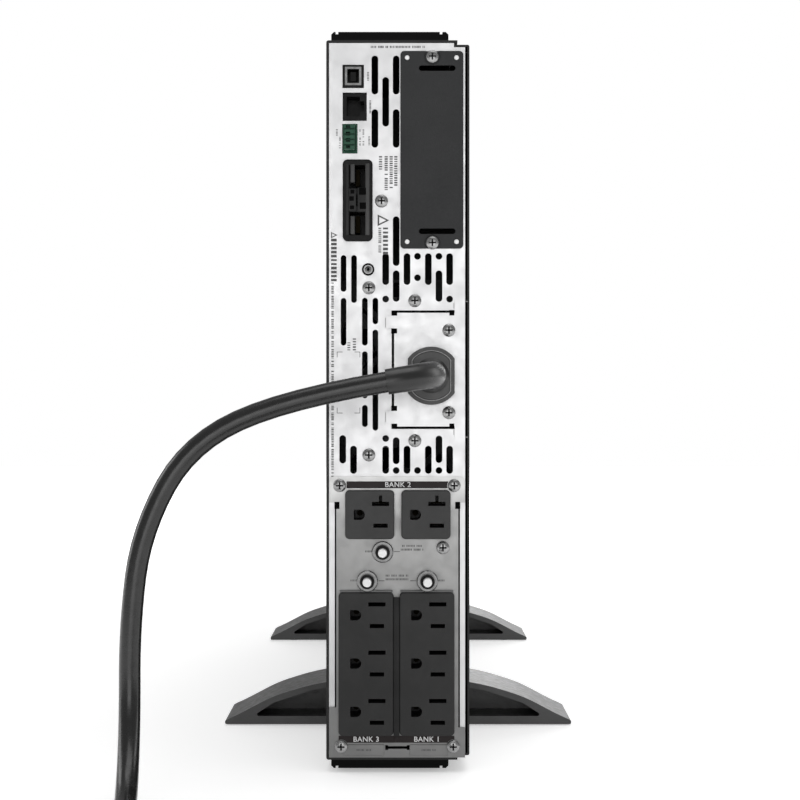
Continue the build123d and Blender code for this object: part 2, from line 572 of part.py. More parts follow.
with BuildPart() as breaker_nuts:
    for x, v in BREAKERS:
        with BuildSketch(back_plane(PLATE_SHEET)):
            with Locations((x, v)):
                Circle(BREAKER_NUT_R)
                Circle(BREAKER_BUSH_R, mode=Mode.SUBTRACT)
        extrude(amount=BREAKER_NUT_H)
    chamfer(breaker_nuts.faces().group_by(Axis.Y)[0].edges().filter_by(GeomType.CIRCLE).group_by(SortBy.RADIUS)[-1], 0.5)
write(breaker_nuts, "breaker_nuts")

for number, (x, v) in enumerate(BREAKERS, start=1):
    with BuildPart() as breaker_button:
        with BuildSketch(back_plane(-BREAKER_BUTTON_IN)):
            with Locations((x, v)):
                Circle(BREAKER_BUTTON_R)
        extrude(amount=BREAKER_BUTTON_IN + REAR_PROUD)
        fillet(breaker_button.edges().sort_by(Axis.Y)[0], 0.8)
    write(breaker_button, f"breaker_button_{number}")

# ---------------------------------------------------------------- ports
PORT_PROUD, PORT_DEPTH = 0.9, 16.0


def port_box(x, v, width, height, proud, depth):
    """A port's housing, a fit inside its hole in the panel."""
    with BuildPart() as housing:
        with BuildSketch(back_plane(proud)):
            with Locations((x, v)):
                Rectangle(width - 2 * FIT, height - 2 * FIT)
        extrude(amount=-proud - depth)
    return housing.part


USB_OPEN_W, USB_OPEN_H, USB_OPEN_D = 8.0, 9.2, 11.0
USB_TONGUE_W, USB_TONGUE_H, USB_TONGUE_D = 3.2, 5.6, 9.0
with BuildPart() as usb_port:
    add(port_box(USB_X, USB_V, USB_W, USB_H, PORT_PROUD, PORT_DEPTH))
    with BuildSketch(back_plane(PORT_PROUD)) as opening:
        with Locations((USB_X, USB_V)):
            Rectangle(USB_OPEN_W, USB_OPEN_H)
        chamfer(opening.vertices().group_by(Axis.X)[0], 1.8)
    extrude(amount=-USB_OPEN_D, mode=Mode.SUBTRACT)
    with BuildSketch(back_plane(PORT_PROUD - USB_OPEN_D)):
        with Locations((USB_X, USB_V)):
            Rectangle(USB_TONGUE_W, USB_TONGUE_H)
    extrude(amount=USB_TONGUE_D)
write(usb_port, "usb_port")

JACK_W, JACK_H, JACK_D = 8.0, 11.8, 12.0
JACK_KEY_W, JACK_KEY_H = 2.6, 6.2
with BuildPart() as serial_port:
    add(port_box(SERIAL_X, SERIAL_V, SERIAL_W, SERIAL_H, PORT_PROUD, PORT_DEPTH))
    with BuildSketch(back_plane(PORT_PROUD)):
        with Locations((SERIAL_X - 0.8, SERIAL_V)):
            Rectangle(JACK_W, JACK_H)
            with Locations((JACK_W / 2 + JACK_KEY_W / 2, 0)):
                Rectangle(JACK_KEY_W, JACK_KEY_H)
    extrude(amount=-JACK_D, mode=Mode.SUBTRACT)
write(serial_port, "serial_port")

EPO_WALL, EPO_WELL = 0.9, 9.0
EPO_PROUD, EPO_PLUG_PROUD = 0.6, 7.0
EPO_PIN_R, EPO_PITCH, EPO_WAYS = 0.5, 3.81, 4
EPO_WIRE_W, EPO_WIRE_H = 2.6, 2.4
with BuildPart() as epo_header:
    add(port_box(EPO_X, EPO_V, EPO_W, EPO_H, EPO_PROUD, EPO_WELL + 3))
    with BuildSketch(back_plane(EPO_PROUD)):
        with Locations((EPO_X, EPO_V)):
            Rectangle(EPO_W - 2 * FIT - 2 * EPO_WALL, EPO_H - 2 * FIT - 2 * EPO_WALL)
    extrude(amount=-EPO_PROUD - EPO_WELL, mode=Mode.SUBTRACT)
    with BuildSketch(back_plane(-EPO_WELL)):
        with Locations((EPO_X, EPO_V)):
            with GridLocations(1, EPO_PITCH, 1, EPO_WAYS):
                Circle(EPO_PIN_R)
    extrude(amount=EPO_WELL - 2)
write(epo_header, "epo_header")

EPO_PLUG_W = EPO_W - 4 * FIT - 2 * EPO_WALL
EPO_PLUG_H = EPO_H - 4 * FIT - 2 * EPO_WALL
with BuildPart() as epo_plug:
    with BuildSketch(back_plane(EPO_PLUG_PROUD)):
        with Locations((EPO_X, EPO_V)):
            Rectangle(EPO_PLUG_W, EPO_PLUG_H)
    extrude(amount=-EPO_PLUG_PROUD - EPO_WELL + FIT)
    with BuildSketch(back_plane(EPO_PLUG_PROUD)):
        with Locations((EPO_X - 0.9, EPO_V)):
            with GridLocations(1, EPO_PITCH, 1, EPO_WAYS):
                Rectangle(EPO_WIRE_W, EPO_WIRE_H)
    extrude(amount=-4, mode=Mode.SUBTRACT)
    with BuildSketch(back_plane(-EPO_WELL)):
        with Locations((EPO_X, EPO_V)):
            with GridLocations(1, EPO_PITCH, 1, EPO_WAYS):
                Circle(EPO_PIN_R + FIT)
    extrude(amount=EPO_WELL - 1, mode=Mode.SUBTRACT)
write(epo_plug, "epo_plug")

BATT_PROUD, BATT_BODY = 2.4, 24.0
BATT_CORNER_R = 3.0
BATT_WELL_W, BATT_WELL_H, BATT_WELL_D = 10.0, 14.0, 18.0
BATT_WELL_RISE = 14.0
BATT_KEY_W, BATT_KEY_H = 6.0, 7.0
BATT_BLADE_T, BATT_BLADE_L = 2.4, 12.0
with BuildPart() as battery_connector:
    with BuildSketch(back_plane()):
        with Locations((BATT_CONN_X, BATT_CONN_V)):
            RectangleRounded(BATT_CONN_W, BATT_CONN_H, BATT_CORNER_R)
    extrude(amount=BATT_PROUD)
    fillet(battery_connector.faces().sort_by(Axis.Y)[0].edges(), 0.7)
    with BuildSketch(back_plane()):
        with Locations((BATT_CONN_X, BATT_CONN_V)):
            Rectangle(BATT_CONN_W - 2 - 2 * FIT, BATT_CONN_H - 2 - 2 * FIT)
    extrude(amount=-BATT_BODY)
    with BuildSketch(back_plane(BATT_PROUD)):
        with Locations((BATT_CONN_X, BATT_CONN_V)):
            with Locations((0, BATT_WELL_RISE), (0, -BATT_WELL_RISE)):
                Rectangle(BATT_WELL_W, BATT_WELL_H)
            Rectangle(BATT_KEY_W, BATT_KEY_H)
    extrude(amount=-BATT_WELL_D, mode=Mode.SUBTRACT)
write(battery_connector, "battery_connector")

with BuildPart() as battery_contacts:
    with BuildSketch(back_plane(BATT_PROUD - BATT_WELL_D)):
        with Locations((BATT_CONN_X, BATT_CONN_V)):
            with Locations((0, BATT_WELL_RISE), (0, -BATT_WELL_RISE)):
                Rectangle(BATT_BLADE_T, BATT_WELL_H - 4)
    extrude(amount=BATT_BLADE_L)
write(battery_contacts, "battery_contacts")

GROUND_R, GROUND_PROUD, GROUND_BORE_R, GROUND_BORE_L = 3.7, 1.4, 2.0, 10.0
with BuildPart() as ground_terminal:
    with BuildSketch(back_plane()):
        with Locations((GROUND_X, GROUND_V)):
            Circle(GROUND_R)
    extrude(amount=GROUND_PROUD)
    with BuildSketch(back_plane()):
        with Locations((GROUND_X, GROUND_V)):
            Circle(GROUND_HOLE_R - FIT / 2)
    extrude(amount=-GROUND_BORE_L)
    with BuildSketch(back_plane(GROUND_PROUD)):
        with Locations((GROUND_X, GROUND_V)):
            Circle(GROUND_BORE_R)
    extrude(amount=-GROUND_BORE_L, mode=Mode.SUBTRACT)
write(ground_terminal, "ground_terminal")

# ---------------------------------------------------------------- power cord and where it leaves the case
GLAND_R, GLAND_HALF_W, GLAND_H = 17.4, 14.0, 7.0  # a round flange with two flats
GLAND_RIM = 2.6
GLAND_DEPTH, GLAND_NUT_R, GLAND_NUT_H = 14.0, 16.2, 4.0
CORD_D = 12.0
BOOT_BASE_D, BOOT_TIP_D = 17.0, 14.4
BOOT_COLLAR_D = 21.0
CORD_SLOPE = 9.5  # how far the cord falls as it leaves the boot, in degrees
BOOT_OUT = 62.0  # from the rear panel to the cord's middle
BOOT_BEND_R = 26.5

with BuildPart() as cable_gland:
    with BuildSketch(back_plane(PLATE_SHEET)):
        with Locations((GLAND_X, GLAND_V)):
            add(double_d(GLAND_R, GLAND_HALF_W))
    extrude(amount=GLAND_H - PLATE_SHEET)
    chamfer(cable_gland.faces().sort_by(Axis.Y)[0].edges(), GLAND_RIM, 3.2)
    with BuildSketch(back_plane(PLATE_SHEET)):
        with Locations((GLAND_X, GLAND_V)):
            add(double_d(GLAND_HOLE_R, GLAND_FLAT))
    extrude(amount=-GLAND_DEPTH)
    with BuildSketch(back_plane(-PANEL_SHEET - FIT)):
        with Locations((GLAND_X, GLAND_V)):
            RegularPolygon(GLAND_NUT_R, 6)
    extrude(amount=-GLAND_NUT_H)
    with BuildSketch(back_plane(GLAND_H)):
        with Locations((GLAND_X, GLAND_V)):
            Circle(BOOT_COLLAR_D / 2)
    extrude(amount=-GLAND_H - GLAND_DEPTH, mode=Mode.SUBTRACT)
write(cable_gland, "cable_gland")

GLAND_POINT = Vector(GLAND_X, Y_BACK, Z_MID + GLAND_V)
CORD_WAY = Vector(-cos(radians(CORD_SLOPE)), 0, -sin(radians(CORD_SLOPE)))
BEND_START = GLAND_POINT + Vector(0, BOOT_BEND_R - BOOT_OUT, 0)
BOOT_END = GLAND_POINT + Vector(0, -BOOT_OUT, 0) + CORD_WAY * BOOT_BEND_R

with BuildPart() as cord_boot:
    with BuildSketch(Plane(origin=GLAND_POINT + Vector(0, -GLAND_H - 2, 0), x_dir=(1, 0, 0), z_dir=(0, 1, 0))):
        Circle(BOOT_COLLAR_D / 2)
    extrude(amount=GLAND_H + GLAND_DEPTH)
    chamfer(cord_boot.faces().sort_by(Axis.Y)[0].edges(), 1.5)
    with BuildLine() as boot_line:
        straight = Line(GLAND_POINT + Vector(0, -GLAND_H, 0), BEND_START)
        TangentArc(BEND_START, BOOT_END, tangent=straight % 1)
    with BuildSketch(Plane(boot_line.line @ 0, z_dir=boot_line.line % 0)):
        Circle(BOOT_BASE_D / 2)
    with BuildSketch(Plane(boot_line.line @ 1, z_dir=boot_line.line % 1)):
        Circle(BOOT_TIP_D / 2)
    sweep(path=boot_line.line, multisection=True)
write(cord_boot, "cord_boot")

# The cord's route from the boot's end to the coil, point by point.
CORD_FLOOR = CORD_D / 2
COIL_X, COIL_Y = -60.0, -568.0
COIL_MEAN_R = 72.0
COIL_LAYERS, COIL_COLUMNS = 2, 2
COIL_IN_R = COIL_MEAN_R - COIL_COLUMNS * CORD_D / 2
COIL_OUT_R = COIL_MEAN_R + COIL_COLUMNS * CORD_D / 2
COIL_TURN_R = COIL_OUT_R - CORD_D / 2  # the outer turn
COIL_LEAD = 46.0  # how far the coil's straight ends run past its middle
COIL_TAIL = 52.0
COIL_H = COIL_LAYERS * CORD_D
CORD_POINTS = [
    tuple(BOOT_END),
    tuple(BOOT_END + CORD_WAY * 57.5),
    (-117.0, -385.0, 199.0),
    (-143.0, -389.0, 150.0),
    (-149.0, -391.0, 98.0),
    (-148.5, -393.0, 43.5),
    (-144.0, -431.5, CORD_FLOOR),
    (COIL_X - COIL_TURN_R, -488.0, CORD_FLOOR),
    (COIL_X - COIL_TURN_R, COIL_Y + COIL_LEAD, CORD_FLOOR),
]


def corner_radii(points):
    """The radius of each bend of a route: 0.45 of its shorter run, over the tangent of half its turn."""
    radii = []
    for before, here, after in zip(points, points[1:], points[2:]):
        run_in, run_out = Vector(here) - Vector(before), Vector(after) - Vector(here)
        half_turn = radians(run_in.get_angle(run_out)) / 2
        radii.append(0.45 * min(run_in.length, run_out.length) / tan(half_turn))
    return radii


CORD_RADII = corner_radii(CORD_POINTS)
print("cord runs", [round((Vector(b) - Vector(a)).length) for a, b in zip(CORD_POINTS, CORD_POINTS[1:])])
print("cord radii", [round(radius) for radius in CORD_RADII])

with BuildPart() as power_cord:
    with BuildLine() as cord_line:
        FilletPolyline(*CORD_POINTS, radius=CORD_RADII)
    with BuildSketch(Plane(cord_line.line @ 0, z_dir=cord_line.line % 0)):
        Circle(CORD_D / 2)
    sweep(path=cord_line.line)
cord_length = cord_line.wires()[0].length
tube_volume = pi * CORD_D**2 / 4 * cord_length
print("cord length", round(cord_length), "volume ratio", round(power_cord.part.volume / tube_volume, 4))
write(power_cord, "power_cord")

TIE_W, TIE_T, TIE_ANGLE = 14.0, 1.5, 40.0
TIE_SIZE = (COIL_COLUMNS * CORD_D + 2 * TIE_T, TIE_W, COIL_H + TIE_T)
TIE_PLACE = Location((COIL_X, COIL_Y, 0), (0, 0, TIE_ANGLE)) * Location((COIL_MEAN_R, 0, TIE_SIZE[2] / 2))


def tie_band():
    """The band around the coil, standing on the floor."""
    with BuildPart() as band:
        Box(*TIE_SIZE)
        Box(TIE_SIZE[0] - 2 * TIE_T, TIE_W, TIE_SIZE[2] - 2 * TIE_T, mode=Mode.SUBTRACT)
    return band.part.moved(TIE_PLACE)


with BuildPart() as power_cord_coil:
    with BuildSketch(floor_plane(0, COIL_X, COIL_Y)):
        Circle(COIL_OUT_R)
        Circle(COIL_IN_R, mode=Mode.SUBTRACT)
    extrude(amount=COIL_H)
    fillet(power_cord_coil.edges(), CORD_D / 2 - 0.5)
    lead_end = Vector(COIL_X - COIL_TURN_R, COIL_Y + COIL_LEAD, CORD_FLOOR)
    tail_end = Vector(COIL_X + COIL_TAIL, COIL_Y - COIL_TURN_R, COIL_H - CORD_FLOOR)
    with BuildSketch(Plane(lead_end, z_dir=(0, -1, 0))):
        Circle(CORD_D / 2)
    extrude(amount=COIL_LEAD)
    with BuildSketch(Plane(tail_end, z_dir=(-1, 0, 0))):
        Circle(CORD_D / 2)
    extrude(amount=COIL_TAIL)
    with Locations(TIE_PLACE):
        Box(TIE_SIZE[0] + 1, TIE_W, TIE_SIZE[2] + 1, mode=Mode.SUBTRACT)
    inner = TIE_SIZE[0] - 2 * TIE_T, TIE_W, TIE_SIZE[2] - 2 * TIE_T
    with Locations(TIE_PLACE):
        Box(*inner)
write(power_cord_coil, "power_cord_coil")
with BuildPart() as cord_tie:
    add(tie_band())
write(cord_tie, "cord_tie")

PLUG_NECK_R, PLUG_NECK_L = 8.5, 14.0
PLUG_R, PLUG_L = 18.0, 46.0
PLUG_FACE_W = 32.0
BLADE_L, BLADE_W, BLADE_T = 18.3, 6.35, 1.5
BLADE_SPREAD, PLUG_GROUND_OFFSET = 12.7, 11.9
GROUND_PIN_R, GROUND_PIN_L = 2.4, 21.4
PLUG_AXIS = Plane(tail_end, x_dir=(0, 1, 0), z_dir=(1, 0, 0))
with BuildPart() as plug_body:
    with BuildSketch(PLUG_AXIS):
        Circle(PLUG_NECK_R)
    with BuildSketch(PLUG_AXIS.offset(PLUG_NECK_L)):
        Circle(PLUG_NECK_R + 2.5)
    loft()
    with BuildSketch(PLUG_AXIS.offset(PLUG_NECK_L)):
        Circle(PLUG_R)
        Rectangle(PLUG_FACE_W, 2 * PLUG_R, mode=Mode.INTERSECT)
    extrude(amount=PLUG_L)
    fillet(plug_body.faces().sort_by(Axis.X)[-1].edges(), 1.5)
write(plug_body, "plug_body")

with BuildPart() as plug_blades:
    with BuildSketch(PLUG_AXIS.offset(PLUG_NECK_L + PLUG_L)):
        with Locations((-4, BLADE_SPREAD / 2)):
            Rectangle(BLADE_W, BLADE_T)
        with Locations((-4, -BLADE_SPREAD / 2)):
            Rectangle(BLADE_T, BLADE_W)
    extrude(amount=BLADE_L)
    with BuildSketch(PLUG_AXIS.offset(PLUG_NECK_L + PLUG_L)):
        with Locations((PLUG_GROUND_OFFSET - 4, 0)):
            Circle(GROUND_PIN_R)
    extrude(amount=GROUND_PIN_L)
write(plug_blades, "plug_blades")

# ---------------------------------------------------------------- stabiliser feet
FOOT_SPAN = 238.0  # across both feet of a pair
FOOT_DEPTH = 58.0
FOOT_HEIGHT = 30.5
FOOT_LIFT = 0.6  # the feet's moulding stands on its pads
FOOT_INSET, FOOT_OVERHANG = 138.0, 3.0  # from the panel to the rear pair, and the front pair past its rail
FOOT_REAR_Y = Y_BACK + FOOT_INSET + FOOT_DEPTH / 2
FOOT_FRONT_Y = Y_BACK + RAIL_LEN + FOOT_OVERHANG - FOOT_DEPTH / 2
FOOT_TOP = ((49.0, 29.5), (58.8, 27.7), (72.8, 23.9), (86.9, 19.0), (103.0, 10.9))
FOOT_TIP_H = 4.6
FOOT_SKIN, FOOT_FLANGE, FOOT_WALL, FOOT_WEB = 3.6, 5.6, 4.0, 4.0
FOOT_JOIN = 1.0  # gap between the floor plates under the unit
PAD_R, PAD_H = 8.0, 2.0
PAD_X = (20.0, 98.0)
PAD_Y = 18.0
FOOT_INNER = CASE_W / 2 + FIT
FOOT_TIP = FOOT_SPAN / 2


def foot_outline():
    """The foot's side view, from the case to the tip. Sketch X is X, sketch Y is Z."""
    with BuildLine() as outline:
        Line((FOOT_INNER, FOOT_LIFT), (FOOT_INNER, FOOT_HEIGHT))
        Line((FOOT_INNER, FOOT_HEIGHT), FOOT_TOP[0])
        top = Spline(*FOOT_TOP, (FOOT_TIP - 3, FOOT_TIP_H))
        Polyline(top @ 1, (FOOT_TIP, FOOT_TIP_H - 1.6), (FOOT_TIP, FOOT_LIFT), (FOOT_INNER, FOOT_LIFT))
    return outline.edges()


def foot_pocket():
    """The pocket's outline, a skin inside the foot's."""
    wall, floor = FOOT_INNER + FOOT_WALL, FOOT_LIFT + FOOT_FLANGE
    with BuildLine() as outline:
        Polyline(
            (wall, floor),
            (wall, FOOT_HEIGHT - FOOT_SKIN - 1),
            (FOOT_TOP[1][0], FOOT_TOP[1][1] - FOOT_SKIN),
            (FOOT_TOP[3][0] - 1.5, FOOT_TOP[3][1] - FOOT_SKIN),
            (FOOT_TOP[4][0] - 3, floor),
            (wall, floor),
        )
    return outline.edges()


def foot(middle_y):
    """The +X foot of a pair."""
    with BuildPart() as moulding:
        with BuildSketch(Plane.XZ.offset(-middle_y)):
            make_face(foot_outline())
        extrude(amount=FOOT_DEPTH / 2, both=True)
        fillet(moulding.edges().filter_by(Axis.Y).group_by(Axis.X)[-1], 1.0)
        for out in (1, -1):
            with BuildSketch(Plane.XZ.offset(-middle_y + out * FOOT_WEB / 2)) as pocket:
                make_face(foot_pocket())
                fillet(pocket.vertices(), 1.2)
            extrude(amount=out * FOOT_DEPTH, mode=Mode.SUBTRACT)
        with BuildSketch(floor_plane(FOOT_LIFT, 0, middle_y)):
            with Locations(((FOOT_JOIN / 2 + FOOT_INNER) / 2 + 0.5, 0)):
                Rectangle(FOOT_INNER - FOOT_JOIN / 2 + 1, FOOT_DEPTH)
        extrude(amount=FOOT_FLOOR - FOOT_LIFT)
        with BuildSketch(floor_plane(FOOT_LIFT, 0, middle_y)):
            with Locations(*[(x, y) for x in PAD_X for y in (-PAD_Y, PAD_Y)]):
                Circle(PAD_R)
        extrude(amount=PAD_H - FOOT_LIFT, mode=Mode.SUBTRACT)
    return moulding.part


for pair, middle_y in (("rear", FOOT_REAR_Y), ("front", FOOT_FRONT_Y)):
    right_foot = foot(middle_y)
    with BuildPart() as foot_right:
        add(right_foot)
    write(foot_right, f"foot_{pair}_right")
    with BuildPart() as foot_left:
        mirror(right_foot, about=Plane.YZ)
    write(foot_left, f"foot_{pair}_left")

with BuildPart() as foot_pads:
    for middle_y in (FOOT_REAR_Y, FOOT_FRONT_Y):
        with BuildSketch(floor_plane(0, 0, middle_y)):
            with Locations(*[(a * x, y) for a in (1, -1) for x in PAD_X for y in (-PAD_Y, PAD_Y)]):
                Circle(PAD_R)
        extrude(amount=PAD_H)
write(foot_pads, "foot_pads")

# ---------------------------------------------------------------- bezel and display
BEZEL_WALL = 2.6
BEZEL_EDGE_R = 5.0
BEZEL_SLOT_W, BEZEL_SLOT_H = 22.0, 3.4
BEZEL_SLOT_ROWS, BEZEL_SLOT_PITCH_X, BEZEL_SLOT_PITCH_Z = 26, 25.0, 9.0
BEZEL_SLOTS_V = -78.0
DISPLAY_W, DISPLAY_H = 62.0, 92.0
DISPLAY_X, DISPLAY_V = 0.0, 138.0
DISPLAY_WALL = 2.5
DISPLAY_SET_BACK = 0.6

with BuildPart() as front_bezel:
    with BuildSketch(front_plane()):
        Rectangle(CASE_W, CASE_H)
    extrude(amount=-BEZEL_DEPTH + FIT)
    fillet(front_bezel.edges().group_by(Axis.Y)[-1], BEZEL_EDGE_R)
    fillet(front_bezel.edges().filter_by(Axis.Y), 1.2)
    with BuildSketch(front_plane(-BEZEL_WALL)):
        Rectangle(CASE_W - 2 * BEZEL_WALL, CASE_H - 2 * BEZEL_WALL)
    extrude(amount=-BEZEL_DEPTH, mode=Mode.SUBTRACT)
    with BuildSketch(front_plane(1)):
        with Locations((-DISPLAY_X, DISPLAY_V)):
            RectangleRounded(DISPLAY_W + 2 * FIT, DISPLAY_H + 2 * FIT, 3.0)
        with Locations((0, BEZEL_SLOTS_V)):
            with GridLocations(BEZEL_SLOT_PITCH_X, BEZEL_SLOT_PITCH_Z, 3, BEZEL_SLOT_ROWS):
                SlotOverall(BEZEL_SLOT_W, BEZEL_SLOT_H)
    extrude(amount=-BEZEL_WALL - 2, mode=Mode.SUBTRACT)
write(front_bezel, "front_bezel")

BAY_SHEET = 1.2
BAY_FRONT_Y = Y_CASE_FRONT - 3.0  # outer face of the plate that carries the display
DISPLAY_BACK = Y_FRONT - BAY_FRONT_Y
WINDOW_W, WINDOW_H, WINDOW_T, WINDOW_V = 52.0, 40.0, 1.4, 20.0
BUTTON_R, BUTTON_PITCH, BUTTON_V = 4.2, 12.4, -12.0
POWER_R, POWER_V = 7.0, -32.0
BUTTON_PROUD, BUTTON_IN = 0.4, 9.0
BUTTONS = {  # name: (x on the display's face, height from its middle, radius)
    "power_button": (0.0, POWER_V, POWER_R),
    "up_button": (-1.5 * BUTTON_PITCH, BUTTON_V, BUTTON_R),
    "down_button": (-0.5 * BUTTON_PITCH, BUTTON_V, BUTTON_R),
    "ok_button": (0.5 * BUTTON_PITCH, BUTTON_V, BUTTON_R),
    "escape_button": (1.5 * BUTTON_PITCH, BUTTON_V, BUTTON_R),
}

with BuildPart() as display_housing:
    with BuildSketch(front_plane(-DISPLAY_SET_BACK)):
        with Locations((-DISPLAY_X, DISPLAY_V)):
            RectangleRounded(DISPLAY_W, DISPLAY_H, 2.7)
    extrude(amount=DISPLAY_SET_BACK - DISPLAY_BACK)
    fillet(display_housing.faces().sort_by(Axis.Y)[-1].edges(), 0.6)
    with BuildSketch(front_plane(-DISPLAY_SET_BACK - DISPLAY_WALL)):
        with Locations((-DISPLAY_X, DISPLAY_V)):
            Rectangle(DISPLAY_W - 2 * DISPLAY_WALL, DISPLAY_H - 2 * DISPLAY_WALL)
    extrude(amount=-DISPLAY_BACK, mode=Mode.SUBTRACT)
    with BuildSketch(front_plane(-DISPLAY_SET_BACK)):
        with Locations((-DISPLAY_X, DISPLAY_V + WINDOW_V)):
            Rectangle(WINDOW_W + FIT, WINDOW_H + FIT)
    extrude(amount=-WINDOW_T, mode=Mode.SUBTRACT)
    with BuildSketch(front_plane()):
        for x, v, radius in BUTTONS.values():
            with Locations((x - DISPLAY_X, DISPLAY_V + v)):
                Circle(radius + FIT)
    extrude(amount=-DISPLAY_WALL - 2, mode=Mode.SUBTRACT)
write(display_housing, "display_housing")

with BuildPart() as display_window:
    with BuildSketch(front_plane(-DISPLAY_SET_BACK)):
        with Locations((-DISPLAY_X, DISPLAY_V + WINDOW_V)):
            Rectangle(WINDOW_W, WINDOW_H)
    extrude(amount=-WINDOW_T)
write(display_window, "display_window")

for name, (x, v, radius) in BUTTONS.items():
    with BuildPart() as button:
        with BuildSketch(front_plane(BUTTON_PROUD - DISPLAY_SET_BACK)):
            with Locations((x - DISPLAY_X, DISPLAY_V + v)):
                Circle(radius)
        extrude(amount=-BUTTON_PROUD - BUTTON_IN)
        fillet(button.edges().sort_by(Axis.Y)[-1], 0.4)
    write(button, name)

# ---------------------------------------------------------------- batteries
BLOCK_W, BLOCK_L, BLOCK_H = 65.0, 151.0, 94.0  # a 12 V 9 Ah block, in X, Y and Z
BLOCKS_ALONG, BLOCKS_UP = 2, 3
BLOCK_GAP = 0.4
TRAY_SHEET = 1.2
TRAY_X0 = INNER_LEFT + FIT
TRAY_Z0 = INNER_BOTTOM + FIT
TRAY_W = 60.0
TRAY_H = BLOCKS_UP * (BLOCK_H + BLOCK_GAP) + BLOCK_GAP + 2 * TRAY_SHEET
TRAY_L = BLOCKS_ALONG * (BLOCK_L + BLOCK_GAP) + BLOCK_GAP + 2 * TRAY_SHEET
TRAY_Y1 = Y_CASE_FRONT - 3.5
TRAY_Y0 = TRAY_Y1 - TRAY_L
BLOCK_X0 = TRAY_X0 + TRAY_SHEET + FIT

with BuildPart() as battery_tray:
    box_between((TRAY_X0, TRAY_Y0, TRAY_Z0), (TRAY_X0 + TRAY_W, TRAY_Y1, TRAY_Z0 + TRAY_H))
    box_between(
        (TRAY_X0 + TRAY_SHEET, TRAY_Y0 + TRAY_SHEET, TRAY_Z0 + TRAY_SHEET),
        (TRAY_X0 + TRAY_W + 1, TRAY_Y1 - TRAY_SHEET, TRAY_Z0 + TRAY_H - TRAY_SHEET),
        mode=Mode.SUBTRACT,
    )
write(battery_tray, "battery_tray")

with BuildPart() as battery_cells:
    for i in range(BLOCKS_ALONG):
        for j in range(BLOCKS_UP):
            y0 = TRAY_Y0 + TRAY_SHEET + BLOCK_GAP + i * (BLOCK_L + BLOCK_GAP)
            z0 = TRAY_Z0 + TRAY_SHEET + BLOCK_GAP + j * (BLOCK_H + BLOCK_GAP)
            box_between((BLOCK_X0, y0, z0), (BLOCK_X0 + BLOCK_W, y0 + BLOCK_L, z0 + BLOCK_H))
    chamfer(battery_cells.edges().filter_by(Axis.X), 1.5)
write(battery_cells, "battery_cells")

HANDLE_H, HANDLE_OUT, HANDLE_BAR = 110.0, 28.0, 8.0
HANDLE_X = TRAY_X0 + TRAY_W / 2
HANDLE_Z = TRAY_Z0 + TRAY_H / 2
with BuildPart() as battery_handle:
    box_between(
        (HANDLE_X - HANDLE_BAR, TRAY_Y1, HANDLE_Z - HANDLE_H / 2),
        (HANDLE_X + HANDLE_BAR, TRAY_Y1 + HANDLE_OUT, HANDLE_Z + HANDLE_H / 2),
    )
    fillet(battery_handle.edges().group_by(Axis.Y)[-1], 3)
    box_between(
        (HANDLE_X - 2 * HANDLE_BAR, TRAY_Y1 - 1, HANDLE_Z - HANDLE_H / 2 + HANDLE_BAR),
        (HANDLE_X + 2 * HANDLE_BAR, TRAY_Y1 + HANDLE_OUT - HANDLE_BAR, HANDLE_Z + HANDLE_H / 2 - HANDLE_BAR),
        mode=Mode.SUBTRACT,
    )
write(battery_handle, "battery_handle")

# A bent sheet behind and above the batteries, which goes on up as the plate behind the display.
SHELF_Z = TRAY_Z0 + TRAY_H + 5.0
BAY_BACK_Y = TRAY_Y0 - 4.0
INNER_LOW = CASE_BOTTOM + STEP_H + COVER_SHEET + FIT  # clear of the cover's lips
INNER_HIGH = CASE_BOTTOM + CASE_H - STEP_H - COVER_SHEET - FIT
BAY_W = INNER_RIGHT - INNER_LEFT - 2 * FIT
BAY_MIDDLE_X = (INNER_RIGHT + INNER_LEFT) / 2
with BuildPart() as battery_bay:
    with BuildSketch(side_plane(BAY_MIDDLE_X, 0, 0)):
        with BuildLine():
            bends = Polyline(
                (BAY_BACK_Y, INNER_LOW), (BAY_BACK_Y, SHELF_Z), (BAY_FRONT_Y, SHELF_Z), (BAY_FRONT_Y, INNER_HIGH)
            )
            offset(bends, BAY_SHEET, side=Side.LEFT, kind=Kind.INTERSECTION)
        make_face()
    extrude(amount=BAY_W / 2, both=True)
write(battery_bay, "battery_bay")

# ---------------------------------------------------------------- fans and the wall that carries them
FAN, FAN_T, FAN_BORE_R, FAN_CORNER_R = 80.0, 25.4, 38.2, 5.0
BOARD_L, BOARD_GAP, FAN_GAP = 125.5, 6.0, 12.0  # the board, then its gaps to the battery bay and to the fans
BOARD_Y1 = BAY_BACK_Y - BOARD_GAP
BOARD_Y0 = BOARD_Y1 - BOARD_L
FAN_Y0 = BOARD_Y0 - FAN_GAP - FAN_T
FANS = {"fan_rotor_upper": 42.0, "fan_rotor_lower": -62.0}  # name: height from the case's middle
HUB_R, HUB_GAP, STRUT_W, STRUT_T = 17.0, 0.8, 4.0, 3.0
BLADES, BLADE_TILT, BLADE_R = 7, 38.0, 36.6
WALL_SHEET = 1.2
WALL_PLANE = Plane(origin=(0, FAN_Y0 + FAN_T, Z_MID), x_dir=(-1, 0, 0), z_dir=(0, 1, 0))
FAN_PLANE = Plane(origin=(0, FAN_Y0, Z_MID), x_dir=(-1, 0, 0), z_dir=(0, 1, 0))

